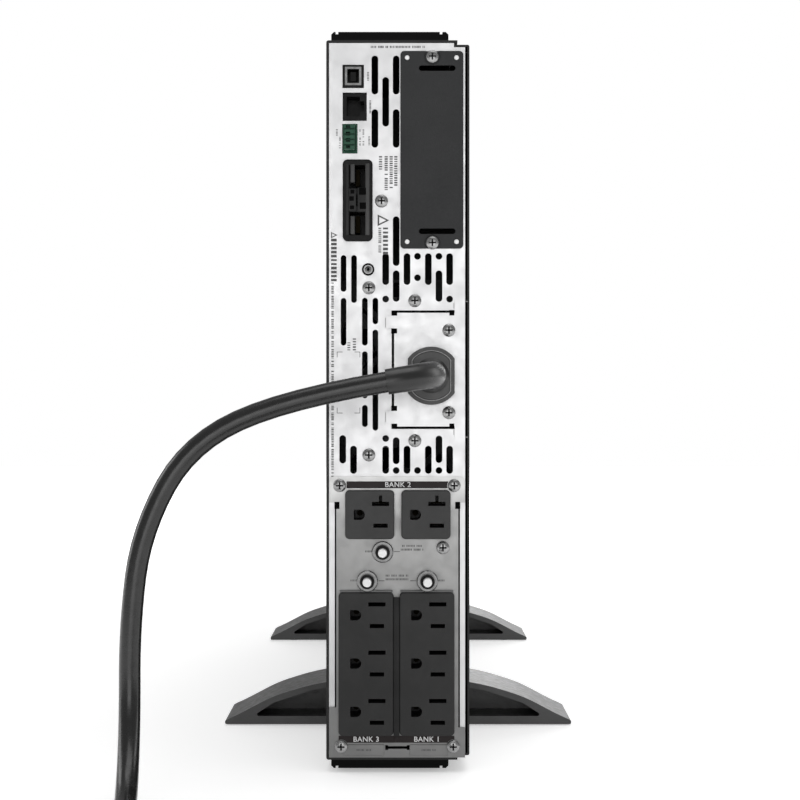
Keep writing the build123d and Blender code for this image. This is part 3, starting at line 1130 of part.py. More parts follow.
with BuildPart() as divider_wall:
    box_between(
        (INNER_LEFT + FIT, FAN_Y0 + FAN_T, INNER_LOW), (INNER_RIGHT - FIT, FAN_Y0 + FAN_T + WALL_SHEET, INNER_HIGH)
    )
    with BuildSketch(WALL_PLANE):
        with Locations(*[(0, v) for v in FANS.values()]):
            Circle(FAN_BORE_R)
    extrude(amount=WALL_SHEET, mode=Mode.SUBTRACT)
write(divider_wall, "divider_wall")

with BuildPart() as fan_frames:
    for v in FANS.values():
        with BuildSketch(FAN_PLANE):
            with Locations((0, v)):
                RectangleRounded(FAN, FAN, FAN_CORNER_R)
                Circle(FAN_BORE_R, mode=Mode.SUBTRACT)
        extrude(amount=FAN_T)
        with BuildSketch(FAN_PLANE):
            with Locations((0, v)):
                Circle(HUB_R)
                Rectangle(2 * FAN_BORE_R + 1, STRUT_W, rotation=45)
                Rectangle(2 * FAN_BORE_R + 1, STRUT_W, rotation=-45)
        extrude(amount=STRUT_T)
write(fan_frames, "fan_frames")

for name, v in FANS.items():
    with BuildPart() as rotor:
        with BuildSketch(FAN_PLANE.offset(STRUT_T + HUB_GAP)):
            with Locations((0, v)):
                Circle(HUB_R)
        extrude(amount=FAN_T - STRUT_T - 2 * HUB_GAP)
        spokes = Plane(origin=(0, FAN_Y0 + (FAN_T + STRUT_T) / 2, Z_MID + v), x_dir=(-1, 0, 0), z_dir=(0, 1, 0))
        with Locations(spokes):
            with PolarLocations((HUB_R + BLADE_R) / 2 - 1, BLADES):
                Box(BLADE_R - HUB_R + 2, 1.6, 20, rotation=(BLADE_TILT, 0, 0))
        with BuildSketch(FAN_PLANE):
            with Locations((0, v)):
                Circle(2 * BLADE_R)
                Circle(BLADE_R, mode=Mode.SUBTRACT)
        extrude(amount=FAN_T, mode=Mode.SUBTRACT)
    write(rotor, name)

# ---------------------------------------------------------------- electronics
BOARD_T, BOARD_RISE = 1.6, 8.0
BOARD_X0 = INNER_LEFT + BOARD_RISE
BOARD_EDGE = 10.0  # from the case's bottom and top to the board
BOARD_Z0, BOARD_Z1 = INNER_LOW + BOARD_EDGE, INNER_HIGH - BOARD_EDGE
BOARD_MIDDLE_Y, BOARD_MIDDLE_Z = (BOARD_Y0 + BOARD_Y1) / 2, (BOARD_Z0 + BOARD_Z1) / 2
BOARD_PLANE = side_plane(BOARD_X0, BOARD_MIDDLE_Y, BOARD_MIDDLE_Z)
STANDOFF_R = 3.0
CHOKE = (22.0, 26.0, 30.0)
CHOKE_RISES = (-150.0, -20.0, 60.0)
CAPACITOR_R, CAPACITOR_L, CAPACITOR_PITCH, CAPACITOR_RISE = 12.5, 45.0, 28.0, 130.0

with BuildPart() as main_board:
    with BuildSketch(BOARD_PLANE):
        Rectangle(BOARD_Y1 - BOARD_Y0, BOARD_Z1 - BOARD_Z0)
    extrude(amount=BOARD_T)
    with BuildSketch(BOARD_PLANE):
        with GridLocations(BOARD_Y1 - BOARD_Y0 - 12, (BOARD_Z1 - BOARD_Z0 - 12) / 2, 2, 3):
            Circle(STANDOFF_R)
    extrude(amount=-BOARD_RISE)
    with BuildSketch(BOARD_PLANE.offset(BOARD_T)):
        with Locations((0, CAPACITOR_RISE)):
            with GridLocations(CAPACITOR_PITCH, CAPACITOR_PITCH, 2, 2):
                Circle(CAPACITOR_R)
    extrude(amount=CAPACITOR_L)
    fillet(main_board.edges().group_by(Axis.X)[-1], 1.5)
    for rise in CHOKE_RISES:
        box_between(
            (BOARD_X0 + BOARD_T, BOARD_Y1 - 8 - CHOKE[1], BOARD_MIDDLE_Z + rise),
            (BOARD_X0 + BOARD_T + CHOKE[0], BOARD_Y1 - 8, BOARD_MIDDLE_Z + rise + CHOKE[2]),
        )
write(main_board, "main_board")

SINK_L, SINK_H, SINK_BASE, SINK_FIN_T, SINK_FIN_PITCH, SINK_W = 40.0, 110.0, 4.0, 1.6, 6.0, 50.0
SINK_RISES = (-100.0, 20.0)
with BuildPart() as heatsinks:
    for rise in SINK_RISES:
        with BuildSketch(BOARD_PLANE.offset(BOARD_T)):
            with Locations((-24, rise)):
                Rectangle(SINK_BASE, SINK_H)
                with GridLocations(1, SINK_FIN_PITCH, 1, int(SINK_H // SINK_FIN_PITCH)):
                    with Locations((SINK_L / 2, 0)):
                        Rectangle(SINK_L, SINK_FIN_T)
        extrude(amount=SINK_W)
write(heatsinks, "heatsinks")

CORE_W, CORE_L, CORE_H = 62.0, 96.0, 82.0  # in X, Y and Z
CORE_LIMB = 16.0
CORE_Y, CORE_Z = 90.0, (SHELF_Z + BAY_SHEET + INNER_HIGH) / 2
with BuildPart() as transformer:
    with BuildSketch(side_plane(INNER_LEFT, CORE_Y, CORE_Z)):
        Rectangle(CORE_L, CORE_H)
        with Locations((-CORE_L / 4 + CORE_LIMB / 4, 0), (CORE_L / 4 - CORE_LIMB / 4, 0)):
            Rectangle(CORE_L / 2 - 1.5 * CORE_LIMB, CORE_H - 2 * CORE_LIMB, mode=Mode.SUBTRACT)
    extrude(amount=CORE_W)
write(transformer, "transformer")
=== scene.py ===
# %% [markdown]
# # The rear of a rack and tower power supply
#
# A two-unit uninterruptible power supply stands as a tower on two pairs of feet. Its measured parts come packed
# from the CAD model. This lesson adds the looks: the mains cord, the printing, the screws, the finishes, the
# light and the camera. Everything is in metres, in the CAD model's own frame: +Z is up, and the rear panel,
# which this view shows, faces -Y.

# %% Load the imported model
import math

import bmesh
import bpy
from mathutils import Matrix, Vector


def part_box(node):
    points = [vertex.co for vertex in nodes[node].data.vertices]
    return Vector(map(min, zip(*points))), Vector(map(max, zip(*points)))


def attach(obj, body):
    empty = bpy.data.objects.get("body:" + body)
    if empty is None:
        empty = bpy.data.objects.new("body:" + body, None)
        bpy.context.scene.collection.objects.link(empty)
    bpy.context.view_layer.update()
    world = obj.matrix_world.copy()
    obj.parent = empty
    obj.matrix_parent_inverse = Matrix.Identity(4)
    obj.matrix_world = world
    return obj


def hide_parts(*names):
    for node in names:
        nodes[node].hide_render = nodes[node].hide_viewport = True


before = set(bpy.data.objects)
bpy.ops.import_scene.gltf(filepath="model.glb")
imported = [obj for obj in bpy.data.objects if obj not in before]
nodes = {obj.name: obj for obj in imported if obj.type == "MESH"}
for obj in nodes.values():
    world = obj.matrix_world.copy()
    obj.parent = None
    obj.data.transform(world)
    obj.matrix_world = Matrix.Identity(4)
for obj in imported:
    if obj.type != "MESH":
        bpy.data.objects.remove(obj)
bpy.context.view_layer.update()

# %% [markdown]
# ## Where things are
#
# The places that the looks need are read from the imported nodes, so that they still fit if the model changes.
# `BACK` is the rear panel's outer face and `FRONT` the bezel's. `MIDDLE` is the height of the case's middle,
# from which heights on both faces are counted. Two helpers stand a flat piece on either face.

# %% Shared places
MM = 0.001
PLAIN_SCALE = (1.0, 1.0, 1.0)
QUARTER = math.radians(90.0)
panel_low, panel_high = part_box("rear_panel")
BACK, FRONT = panel_low.y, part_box("front_bezel")[1].y
MIDDLE = (panel_low.z + panel_high.z) / 2


def on_back(x, v, out=0.0, turn=0.0):
    """Stands local XY on the rear panel: x across and v above the middle, `out` proud of its face, in mm."""
    place = Matrix.Translation((x * MM, BACK - out * MM, MIDDLE + v * MM))
    return place @ Matrix.Rotation(QUARTER, 4, "X") @ Matrix.Rotation(turn, 4, "Z")


def on_front(x, v, out=0.0):
    """Stands local XY on the bezel's face, seen from +Y: x to the viewer's right, in mm."""
    place = Matrix.Translation((-x * MM, FRONT + out * MM, MIDDLE + v * MM))
    return place @ Matrix.Rotation(2 * QUARTER, 4, "Z") @ Matrix.Rotation(QUARTER, 4, "X")


def stands_out(node):
    """How far a node stands out of the rear panel's face, in mm."""
    return (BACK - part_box(node)[0].y) / MM


def centre_on_back(node):
    """The middle of a node on the rear face, in mm across and above the case's middle."""
    low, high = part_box(node)
    return (low.x + high.x) / 2 / MM, ((low.z + high.z) / 2 - MIDDLE) / MM


PLATE_OUT = stands_out("outlet_plate")
print("rear face", round(BACK, 4), "front face", round(FRONT, 4), "middle", round(MIDDLE, 4))

# %% [markdown]
# ## Camera
#
# A level camera looks straight at the rear panel from about a metre away, at the height of the case's middle.
# The long lens keeps the panel's edges parallel, and still lets the farther feet look smaller.

# %% Camera
CAMERA_DISTANCE, CAMERA_ASIDE = 0.95, 0.0013
camera_data = bpy.data.cameras.new("camera")
camera_data.lens = 71.2
camera = bpy.data.objects.new("camera", camera_data)
bpy.context.scene.collection.objects.link(camera)
camera.location = (CAMERA_ASIDE, BACK - CAMERA_DISTANCE, MIDDLE)
camera.rotation_euler = (QUARTER, 0.0, 0.0)
bpy.context.scene.camera = camera
bpy.context.scene.view_settings.view_transform = "Standard"
print("camera", tuple(round(x, 3) for x in camera.location))

# %% [markdown]
# ## Mains cord
#
# The real cord is an eight-foot rubber cable, 12 mm thick. It leaves a bent boot, falls to the floor, and the
# length that nobody needs lies in a tied coil, with the plug beside it. One NURBS curve draws it all. The first
# points are the listed route, and a loop works out the coil: the turns step inwards on the floor, climb
# one diameter and step outwards again on top.

# %% Cord route
CORD_D = 0.012
CORD_ROUTE = [Vector(place) for place in (
    (-0.006137, -0.3825, 0.233626),
    (-0.062848, -0.3825, 0.224136),
    (-0.117, -0.385, 0.199),
    (-0.143, -0.389, 0.150),
    (-0.149, -0.391, 0.098),
    (-0.1485, -0.393, 0.0435),
    (-0.144, -0.4315, 0.006),
    (-0.138, -0.488, 0.006),
    (-0.138, -0.522, 0.006),
)]
COIL_MIDDLE = Vector((-0.060, -0.568, CORD_D / 2))
TURN_RADII = (0.078, 0.066, 0.066, 0.078, 0.078, 0.078)
COIL_TURNS, POINTS_PER_TURN = 4.25, 16
CLIMB_START, CLIMB_TURNS = 1.75, 0.5
STEP_TURNS = 0.4
TAIL_END = Vector((-0.008, -0.646, 1.5 * CORD_D))


def soft_step(t):
    """0 before t = 0, 1 after t = 1, with a soft start and end between."""
    t = min(max(t, 0.0), 1.0)
    return t * t * (3.0 - 2.0 * t)


def coil_point(turns):
    """The cord's middle after so many turns from the coil's left side, counterclockwise from above."""
    whole = int(turns)
    step = soft_step((turns - whole - 1.0 + STEP_TURNS) / STEP_TURNS)
    radius = TURN_RADII[whole] + (TURN_RADII[whole + 1] - TURN_RADII[whole]) * step
    angle = 2 * QUARTER + 4 * QUARTER * turns
    climb = CORD_D * soft_step((turns - CLIMB_START) / CLIMB_TURNS)
    return COIL_MIDDLE + Vector((radius * math.cos(angle), radius * math.sin(angle), climb))


turn_points = [coil_point(i / POINTS_PER_TURN) for i in range(int(COIL_TURNS * POINTS_PER_TURN) + 1)]
print("coil points", len(turn_points))

# %% Cord curve
cord_curve = bpy.data.curves.new("mains_cord", "CURVE")
cord_curve.dimensions = "3D"
cord_curve.bevel_depth = 1.0
cord_curve.bevel_resolution = 7
cord_curve.resolution_u = 6
cord_curve.use_fill_caps = True
cord_points = CORD_ROUTE + turn_points + [TAIL_END]
spline = cord_curve.splines.new("NURBS")
spline.points.add(len(cord_points) - 1)
for point, place in zip(spline.points, cord_points):
    point.co = (*place, 1.0)
    point.radius = CORD_D / 2
spline.order_u = 3
spline.use_endpoint_u = True
mains_cord = bpy.data.objects.new("mains_cord", cord_curve)
bpy.context.scene.collection.objects.link(mains_cord)
print("cord points", len(cord_points))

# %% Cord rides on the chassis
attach(mains_cord, "chassis")
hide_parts("power_cord", "power_cord_coil")

# %% [markdown]
# ## Tools for finishes
#
# Every finish is a Principled shader with a little life in it. The patterns read Object coordinates, because
# every piece's object sits at the origin, so a metre in the pattern is a metre on the part. A noise node gives
# the variation, and small helpers send it to the colour, the roughness or the bump.

# %% Finish helpers
DARKEST_AT, LIGHTEST_AT, SMOOTHEST_AT, ROUGHEST_AT = 0.35, 0.65, 0.3, 0.7  # values of a noise


def as_colour(shade):
    """A linear grey level or a colour, as a colour."""
    return shade if isinstance(shade, tuple) else (shade, shade, shade)


def new_finish(name, colour, roughness, metallic=0.0, specular=0.5):
    """A material whose shader has these constants on its own sockets."""
    finish = bpy.data.materials.new(name)
    finish.use_nodes = True
    shader = finish.node_tree.nodes["Principled BSDF"]
    shader.inputs["Base Color"].default_value = (*as_colour(colour), 1.0)
    shader.inputs["Roughness"].default_value = roughness
    shader.inputs["Metallic"].default_value = metallic
    shader.inputs["Specular IOR Level"].default_value = specular
    return finish


def remap(tree, pattern, **ends):
    """Adds a Map Range node that reads the pattern, and gives its result."""
    span = tree.nodes.new("ShaderNodeMapRange")
    for label, value in ends.items():
        span.inputs[label.replace("_", " ")].default_value = value
    tree.links.new(pattern, span.inputs["Value"])
    return span.outputs["Result"]


def grain(finish, size, detail=3.0, stretch=PLAIN_SCALE):
    """Adds a noise whose blobs are about `size` metres across, and gives its output."""
    tree = finish.node_tree
    coordinates = tree.nodes.new("ShaderNodeTexCoord")
    mapping = tree.nodes.new("ShaderNodeMapping")
    mapping.inputs["Scale"].default_value = stretch
    noise = tree.nodes.new("ShaderNodeTexNoise")
    noise.inputs["Scale"].default_value = 1.0 / size
    noise.inputs["Detail"].default_value = detail
    tree.links.new(coordinates.outputs["Object"], mapping.inputs["Vector"])
    tree.links.new(mapping.outputs["Vector"], noise.inputs["Vector"])
    return noise.outputs["Fac"]


def drive(finish, socket, output):
    """Links an output to a socket of the finish's shader."""
    finish.node_tree.links.new(output, finish.node_tree.nodes["Principled BSDF"].inputs[socket])


def ramp_of(finish, pattern, stops):
    """Adds a colour ramp that reads the pattern. Its stops are (position, shade) pairs."""
    ramp = finish.node_tree.nodes.new("ShaderNodeValToRGB")
    elements = ramp.color_ramp.elements
    while len(elements) < len(stops):
        elements.new(0.5)
    for element, (position, shade) in zip(elements, stops):
        element.position, element.color = position, (*as_colour(shade), 1.0)
    finish.node_tree.links.new(pattern, ramp.inputs["Fac"])
    return ramp.outputs["Color"]


def surface(name, dark, light, smooth, rough, names, blotch, sheen, skin=None, metallic=0.0, specular=0.5):
    """A finish whose colour, gloss and skin follow three grains, given to the named nodes."""
    finish = new_finish(name, light, smooth, metallic, specular)
    drive(finish, "Base Color", ramp_of(finish, grain(finish, *blotch), ((DARKEST_AT, dark), (LIGHTEST_AT, light))))
    ends = dict(From_Min=SMOOTHEST_AT, From_Max=ROUGHEST_AT, To_Min=smooth, To_Max=rough)
    drive(finish, "Roughness", remap(finish.node_tree, grain(finish, *sheen), **ends))
    if skin:
        depth, *pattern = skin
        bump = finish.node_tree.nodes.new("ShaderNodeBump")
        bump.inputs["Distance"].default_value = depth
        bump.inputs["Strength"].default_value = 1.0
        finish.node_tree.links.new(grain(finish, *pattern), bump.inputs["Height"])
        drive(finish, "Normal", bump.outputs["Normal"])
    return give(finish, *names)


def give(finish, *names):
    """Puts a finish on CAD nodes, in every material slot that they have, and hands it back."""
    for name in names:
        for place in nodes[name].material_slots:
            place.material = finish
    return finish


# %% [markdown]
# ## Sheet metal
#
# The rear panel and its cable plate are zinc-plated steel: bright, faintly blotched by the plating bath, and a
# little brushed along the sheet. The outlet plate is the same steel, with a painted shade that darkens it towards
# its foot. The blotches are a slow noise in the colour and roughness, the brushing is a fine noise stretched
# along Z, and the painted shade scales the colour by a ramp over the height above the ground.

# %% Zinc plating
def zinc_plating(name, dark, light, smooth, rough, *names):
    """Plated steel sheet, blotched over a few centimetres and brushed along Z."""
    brushing = (0.00002, 0.0004, 2.0, (1.0, 1.0, 0.06))
    return surface(name, dark, light, smooth, rough, names, (0.02, 5.0), (0.006,), brushing, metallic=0.85)


def paint_shade_by_height(finish, stops):
    """Paints shade: scales the colour by the height above the ground, so that the stops give (metres, level) pairs.
    """
    tree = finish.node_tree
    split, blend = tree.nodes.new("ShaderNodeSeparateXYZ"), tree.nodes.new("ShaderNodeMixRGB")
    tree.links.new(tree.nodes.new("ShaderNodeTexCoord").outputs["Object"], split.inputs["Vector"])
    blend.blend_type = "MULTIPLY"
    blend.inputs["Fac"].default_value = 1.0
    colour = tree.nodes["Principled BSDF"].inputs["Base Color"].links[0].from_socket
    tree.links.new(colour, blend.inputs["Color1"])
    tree.links.new(ramp_of(finish, split.outputs["Z"], stops), blend.inputs["Color2"])
    drive(finish, "Base Color", blend.outputs["Color"])


zinc_plating("zinc_plate", (0.56, 0.56, 0.565), (0.62, 0.62, 0.625), 0.34, 0.46,
             "rear_panel", "cable_plate", "battery_tray")
outlet_zinc_painted_shade = zinc_plating("outlet_plate_zinc_painted_shade", (0.58, 0.58, 0.575), (0.64, 0.64, 0.635), 0.36, 0.5,
                           "outlet_plate")
# Painted shade: the outlet plate and its pressed tabs darken towards the foot.
paint_shade_by_height(outlet_zinc_painted_shade, ((0.010, 0.30), (0.10, 0.40), (0.152, 0.52), (0.170, 0.86)))
print("plated:", outlet_zinc_painted_shade.name, "and the panel's zinc")

# %% [markdown]
# ## Painted sheet metal
#
# The case, its rails and the slot cover carry a powder coat. Melted powder sets with an orange-peel skin, which
# is a bump of rounded grains about half a millimetre wide. The slot cover is a lighter charcoal than the case.

# %% Powder coats
def powder_coat(name, dark, light, smooth, rough, *names, specular=0.2):
    """Black or charcoal powder coat with an orange-peel skin."""
    peel = (0.00006, 0.0006, 1.0)
    return surface(name, dark, light, smooth, rough, names, (0.03, 4.0), (0.002,), peel, specular=specular)


powder_coat("case_powder_coat", 0.007, 0.010, 0.38, 0.5,
            "base_tray", "top_cover", "divider_wall", "battery_bay", specular=0.3)
powder_coat("rail_powder_coat", 0.002, 0.003, 0.32, 0.42, "upper_rail", "lower_rail", specular=0.05)
powder_coat("charcoal_powder_coat", (0.022, 0.0225, 0.0235), (0.027, 0.0275, 0.0285), 0.5, 0.62, "slot_cover")
print("powder coats on the case, rails and slot cover")

# %% [markdown]
# ## Moulded plastics
#
# Outlets, ports, feet, bezel and buttons are injection mouldings. A spark-eroded mould leaves a fine even
# texture, and the resin varies a little in gloss from place to place.

# %% Mouldings
def moulding(name, dark, light, smooth, rough, *names, texture=(0.00002, 0.0003), specular=0.5):
    """Moulded plastic with the mould's fine texture, given as its depth and grain in metres."""
    skin = (*texture, 1.0)
    return surface(name, dark, light, smooth, rough, names, (0.015, 4.0), (0.004,), skin, specular=specular)


moulding("outlet_plastic", 0.031, 0.036, 0.36, 0.46, "outlets_20a", specular=0.25)
moulding("bank_plastic", 0.018, 0.022, 0.38, 0.48, "outlet_bank_1", "outlet_bank_3", specular=0.25)
moulding("port_plastic", 0.004, 0.006, 0.3, 0.42,
         "usb_port", "serial_port", "battery_connector", "breaker_bodies", specular=0.12)
moulding("gland_plastic", 0.028, 0.035, 0.3, 0.4, "cable_gland")
moulding("foot_plastic", 0.030, 0.038, 0.34, 0.46,
         "foot_rear_left", "foot_rear_right", "foot_front_left", "foot_front_right", texture=(0.00004, 0.0007))
moulding("bezel_plastic", 0.012, 0.017, 0.4, 0.52, "front_bezel", texture=(0.00005, 0.0007))
moulding("display_plastic", 0.008, 0.011, 0.2, 0.28, "display_housing")
moulding("button_plastic", 0.075, 0.09, 0.42, 0.52,
         "up_button", "down_button", "ok_button", "escape_button", "power_button")
white_plastic = moulding("white_plastic", 0.80, 0.86, 0.3, 0.4,
                         "breaker_button_1", "breaker_button_2", "breaker_button_3")
moulding("green_plastic", (0.008, 0.050, 0.028), (0.012, 0.065, 0.036), 0.34, 0.44,
         "epo_plug", "epo_header", specular=0.25)
moulding("handle_plastic", (0.02, 0.05, 0.02), (0.03, 0.07, 0.03), 0.4, 0.5, "battery_handle")
moulding("battery_plastic", 0.07, 0.09, 0.42, 0.55, "battery_cells")
moulding("fan_plastic", 0.008, 0.012, 0.35, 0.5, "fan_frames", "fan_rotor_upper", "fan_rotor_lower")
print("materials so far:", len(bpy.data.materials))

# %% [markdown]
# ## Rubber, bright metal and the rest
#
# The cord's jacket is soft rubber with a low sheen. Screws are bright nickel, the plug's blades are clean brass,
# and the contacts deep in the sockets are painted nearly black, a painted shade for the sockets' depth. The heat
# sinks are raw aluminium with drawn lines, and the board is green solder mask.

# %% Rubber and metals
def bright_metal(name, dark, light, smooth, rough, *names, stretch=PLAIN_SCALE):
    """Bare or plated metal with fine tool marks."""
    marks = (0.0008, 3.0, stretch)
    return surface(name, dark, light, smooth, rough, names, (0.003, 4.0), marks, metallic=1.0)


jacket = moulding("cord_jacket", 0.005, 0.008, 0.2, 0.3, texture=(0.00002, 0.0005), specular=0.55)
mains_cord.data.materials.append(jacket)
moulding("boot_rubber", 0.008, 0.012, 0.26, 0.36, "cord_boot", texture=(0.00002, 0.0005))
moulding("plug_rubber", 0.012, 0.017, 0.4, 0.5, "plug_body", texture=(0.00004, 0.0006))
moulding("pad_rubber", 0.010, 0.016, 0.7, 0.85, "foot_pads", texture=(0.00006, 0.0008))
moulding("tie_cloth", 0.008, 0.020, 0.85, 0.95, "cord_tie", texture=(0.00015, 0.0005))
nickel = bright_metal("nickel_screw", 0.26, 0.36, 0.22, 0.32, "rail_screws")
# Painted shade: the contacts deep in the sockets are nearly black so that the sockets look deep.
bright_metal("contact_brass_painted_shade", (0.006, 0.005, 0.003), (0.009, 0.007, 0.004), 0.5, 0.65,
             "outlet_contacts", "battery_contacts")
bright_metal("brass_contact", (0.62, 0.44, 0.18), (0.78, 0.58, 0.27), 0.24, 0.38, "plug_blades")
bright_metal("drawn_aluminium", 0.10, 0.14, 0.3, 0.45, "heatsinks", stretch=(1.0, 1.0, 0.05))
bright_metal("core_iron", 0.012, 0.02, 0.45, 0.6, "transformer", stretch=(1.0, 0.05, 1.0))
bright_metal("nut_steel", 0.15, 0.20, 0.2, 0.3, "breaker_nuts")
bright_metal("terminal_steel", 0.20, 0.28, 0.3, 0.4, "ground_terminal")
moulding("solder_mask", (0.008, 0.06, 0.02), (0.014, 0.09, 0.03), 0.25, 0.4,
         "main_board", texture=(0.00006, 0.0012))
moulding("display_window_glass", (0.010, 0.016, 0.020), (0.014, 0.020, 0.026), 0.08, 0.12, "display_window")
print("materials so far:", len(bpy.data.materials))

# %% [markdown]
# ## Tools for Geometry Nodes
#
# Screws, rivets, ribs and print repeat, so small node trees make them. The `Tree` class builds one with
# named inputs, `grow` runs one on a set of points and keeps the result as a plain mesh, and `keep` makes it a
# piece of the object that rides on a body.

# %% Geometry Nodes helpers
class Tree:
    """A Geometry Nodes tree with named inputs, and short ways to add and join its nodes."""

    def __init__(self, name, **inputs):
        self.group = bpy.data.node_groups.new(name, "GeometryNodeTree")
        self.group.interface.new_socket("Points", in_out="INPUT", socket_type="NodeSocketGeometry")
        for label, kind in inputs.items():
            self.group.interface.new_socket(label, in_out="INPUT", socket_type="NodeSocket" + kind)
        self.group.interface.new_socket("Geometry", in_out="OUTPUT", socket_type="NodeSocketGeometry")
        self.entry = self.group.nodes.new("NodeGroupInput").outputs
        self.exit = self.group.nodes.new("NodeGroupOutput").inputs

    def node(self, kind, settings=None, **sockets):
        """Adds a node. A socket's value is a number, or the output that feeds it."""
        node = self.group.nodes.new(kind)
        for name, value in (settings or {}).items():
            setattr(node, name, value)
        for label, value in sockets.items():
            self.feed(node.inputs[label.replace("_", " ")], value)
        return node

    def feed(self, socket, value):
        """Links the socket to an output, or sets its own value."""
        if isinstance(value, bpy.types.NodeSocket):
            self.group.links.new(value, socket)
        else:
            socket.default_value = value

    def math(self, operation, *values):
        """The result of a Math node."""
        node = self.group.nodes.new("ShaderNodeMath")
        node.operation = operation
        for socket, value in zip(node.inputs, values):
            self.feed(socket, value)
        return node.outputs["Value"]

    def times(self, value, factor):
        """A product."""
        return self.math("MULTIPLY", value, factor)

    def vector(self, x, y, z):
        """A vector from three numbers."""
        return self.node("ShaderNodeCombineXYZ", X=x, Y=y, Z=z).outputs["Vector"]

    def cube(self, x, y, z):
        """A block of that size round the origin."""
        return self.node("GeometryNodeMeshCube", Size=self.vector(x, y, z)).outputs["Mesh"]

    def ball(self, segments, rings):
        """A sphere of radius 1 round the origin."""
        return self.node("GeometryNodeMeshUVSphere", Segments=segments, Rings=rings, Radius=1.0).outputs["Mesh"]

    def cylinder(self, sides, radius, depth):
        """A cylinder along Z round the origin."""
        return self.node("GeometryNodeMeshCylinder", Vertices=sides, Radius=radius, Depth=depth).outputs["Mesh"]

    def boolean(self, operation, *shapes):
        """The union or intersection of shapes, or the first less the others."""
        node = self.group.nodes.new("GeometryNodeMeshBoolean")
        node.operation = operation
        if operation == "DIFFERENCE":
            self.feed(node.inputs["Mesh 1"], shapes[0])
            shapes = shapes[1:]
        for shape in shapes:
            self.group.links.new(shape, node.inputs["Mesh 2"])
        return node.outputs["Mesh"]

    def random(self, kind, seed, *values, **sockets):
        """A random value of that kind for each point. The values are its lowest and highest."""
        node = self.node("FunctionNodeRandomValue", {"data_type": kind}, Seed=seed, **sockets)
        for socket, value in zip([socket for socket in node.inputs if socket.enabled], values):
            socket.default_value = value
        return next(socket for socket in node.outputs if socket.enabled)

    def moved(self, shape, translation, scale=PLAIN_SCALE):
        """A shape moved and scaled."""
        node = self.node("GeometryNodeTransform", Geometry=shape, Translation=translation, Scale=scale)
        return node.outputs["Geometry"]

    def stand(self, shape, points=None, scale=PLAIN_SCALE):
        """Ends the tree: copies stand on the points and are made real, and the piece gets its material."""
        points = self.entry["Points"] if points is None else points
        copies = self.node("GeometryNodeInstanceOnPoints", Points=points, Instance=shape, Scale=scale)
        real = self.node("GeometryNodeRealizeInstances", Geometry=copies.outputs["Instances"])
        real = real.outputs["Geometry"]
        done = self.node("GeometryNodeSetMaterial", Geometry=real, Material=self.entry["Material"])
        self.group.links.new(done.outputs["Geometry"], self.exit["Geometry"])


def add_object(name, mesh, material=None, place=None):
    """Puts a mesh in the scene as an object at the origin, its points moved to their place."""
    if material:
        mesh.materials.clear()
        mesh.materials.append(material)
    if place:
        mesh.transform(place)
    piece = bpy.data.objects.new(name, mesh)
    bpy.context.scene.collection.objects.link(piece)
    return piece


def grow(name, tree, place, points=((0.0, 0.0),), **values):
    """Runs a tree on points of a face, in mm, and gives the result as a plain mesh in its place."""
    start = bpy.data.meshes.new(name + "_points")
    start.from_pydata([(x * MM, v * MM, 0.0) for x, v in points], [], [])
    maker = add_object(name + "_maker", start)
    modifier = maker.modifiers.new("tree", "NODES")
    modifier.node_group = tree.group
    for socket in tree.group.interface.items_tree:
        if socket.in_out == "INPUT" and socket.name in values:
            modifier[socket.identifier] = values[socket.name]
    graph = bpy.context.evaluated_depsgraph_get()
    mesh = bpy.data.meshes.new_from_object(maker.evaluated_get(graph))
    bpy.data.objects.remove(maker)
    return add_object(name, mesh, place=place)


def joined(name, pieces):
    """Several mesh objects made one, which keeps their materials."""
    with bpy.context.temp_override(active_object=pieces[0], selected_editable_objects=pieces):
        bpy.ops.object.join()
    pieces[0].name = name
    return pieces[0]


def keep(piece, body, slot, *replaced):
    """Makes a piece part of the object: its body and the nodes it stands for. Its slot argument is not used."""
    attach(piece, body)
    if replaced:
        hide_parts(*replaced)
    print(piece.name, "on", body, len(piece.data.polygons), "faces")
    return piece


# %% [markdown]
# ## Screws
#
# The panel and its plates are held by pan-head screws with a cross recess. Each head is a low dome on a short
# rim, and the recess is two crossed bars sunk into it, whose deep faces get a painted shade. The tree builds one
# screw with booleans and stands a copy on every point. Points are given in the face's own plane, in metres.

# %% Screw tree
RIM_SHARE, BAR_SHARE, BAR_REACH, BAR_RISE = 0.3, 0.26, 1.1, 1.1  # of the head's height or radius
CUTTER_WIDE, CUTTER_HIGH = 3.0, 2.0  # of the head's radius and height, so that it holds the whole head
screw = Tree("cross_screw", Radius="Float", Height="Float", Shank="Float", Length="Float", Material="Material")
head_r, head_h, shank_l = (screw.entry[label] for label in ("Radius", "Height", "Length"))
rim_h = screw.times(head_h, RIM_SHARE)
dome_size = screw.vector(head_r, head_r, screw.times(head_h, 1.0 - RIM_SHARE))
dome = screw.moved(screw.ball(32, 24), screw.vector(0.0, 0.0, rim_h), dome_size)
rim = screw.cylinder(32, head_r, screw.times(rim_h, 2.0))
cutter_w = screw.times(head_r, CUTTER_WIDE)
above = screw.cube(cutter_w, cutter_w, screw.times(head_h, CUTTER_HIGH))
above = screw.moved(above, screw.vector(0.0, 0.0, head_h))
head = screw.boolean("INTERSECT", screw.boolean("UNION", dome, rim), above)
bar_l, bar_w = screw.times(head_r, BAR_REACH), screw.times(head_r, BAR_SHARE)
cross = screw.boolean("UNION", screw.cube(bar_l, bar_w, head_h), screw.cube(bar_w, bar_l, head_h))
cross = screw.moved(cross, screw.vector(0.0, 0.0, screw.times(head_h, BAR_RISE)))
head = screw.boolean("DIFFERENCE", head, cross)
shank = screw.cylinder(20, screw.entry["Shank"], shank_l)
shank = screw.moved(shank, screw.vector(0.0, 0.0, screw.times(shank_l, -0.5)))
both = screw.node("GeometryNodeJoinGeometry")
for shape in (head, shank):
    screw.group.links.new(shape, both.inputs["Geometry"])
screw.stand(both.outputs["Geometry"])
print("screw tree:", len(screw.group.nodes), "nodes")

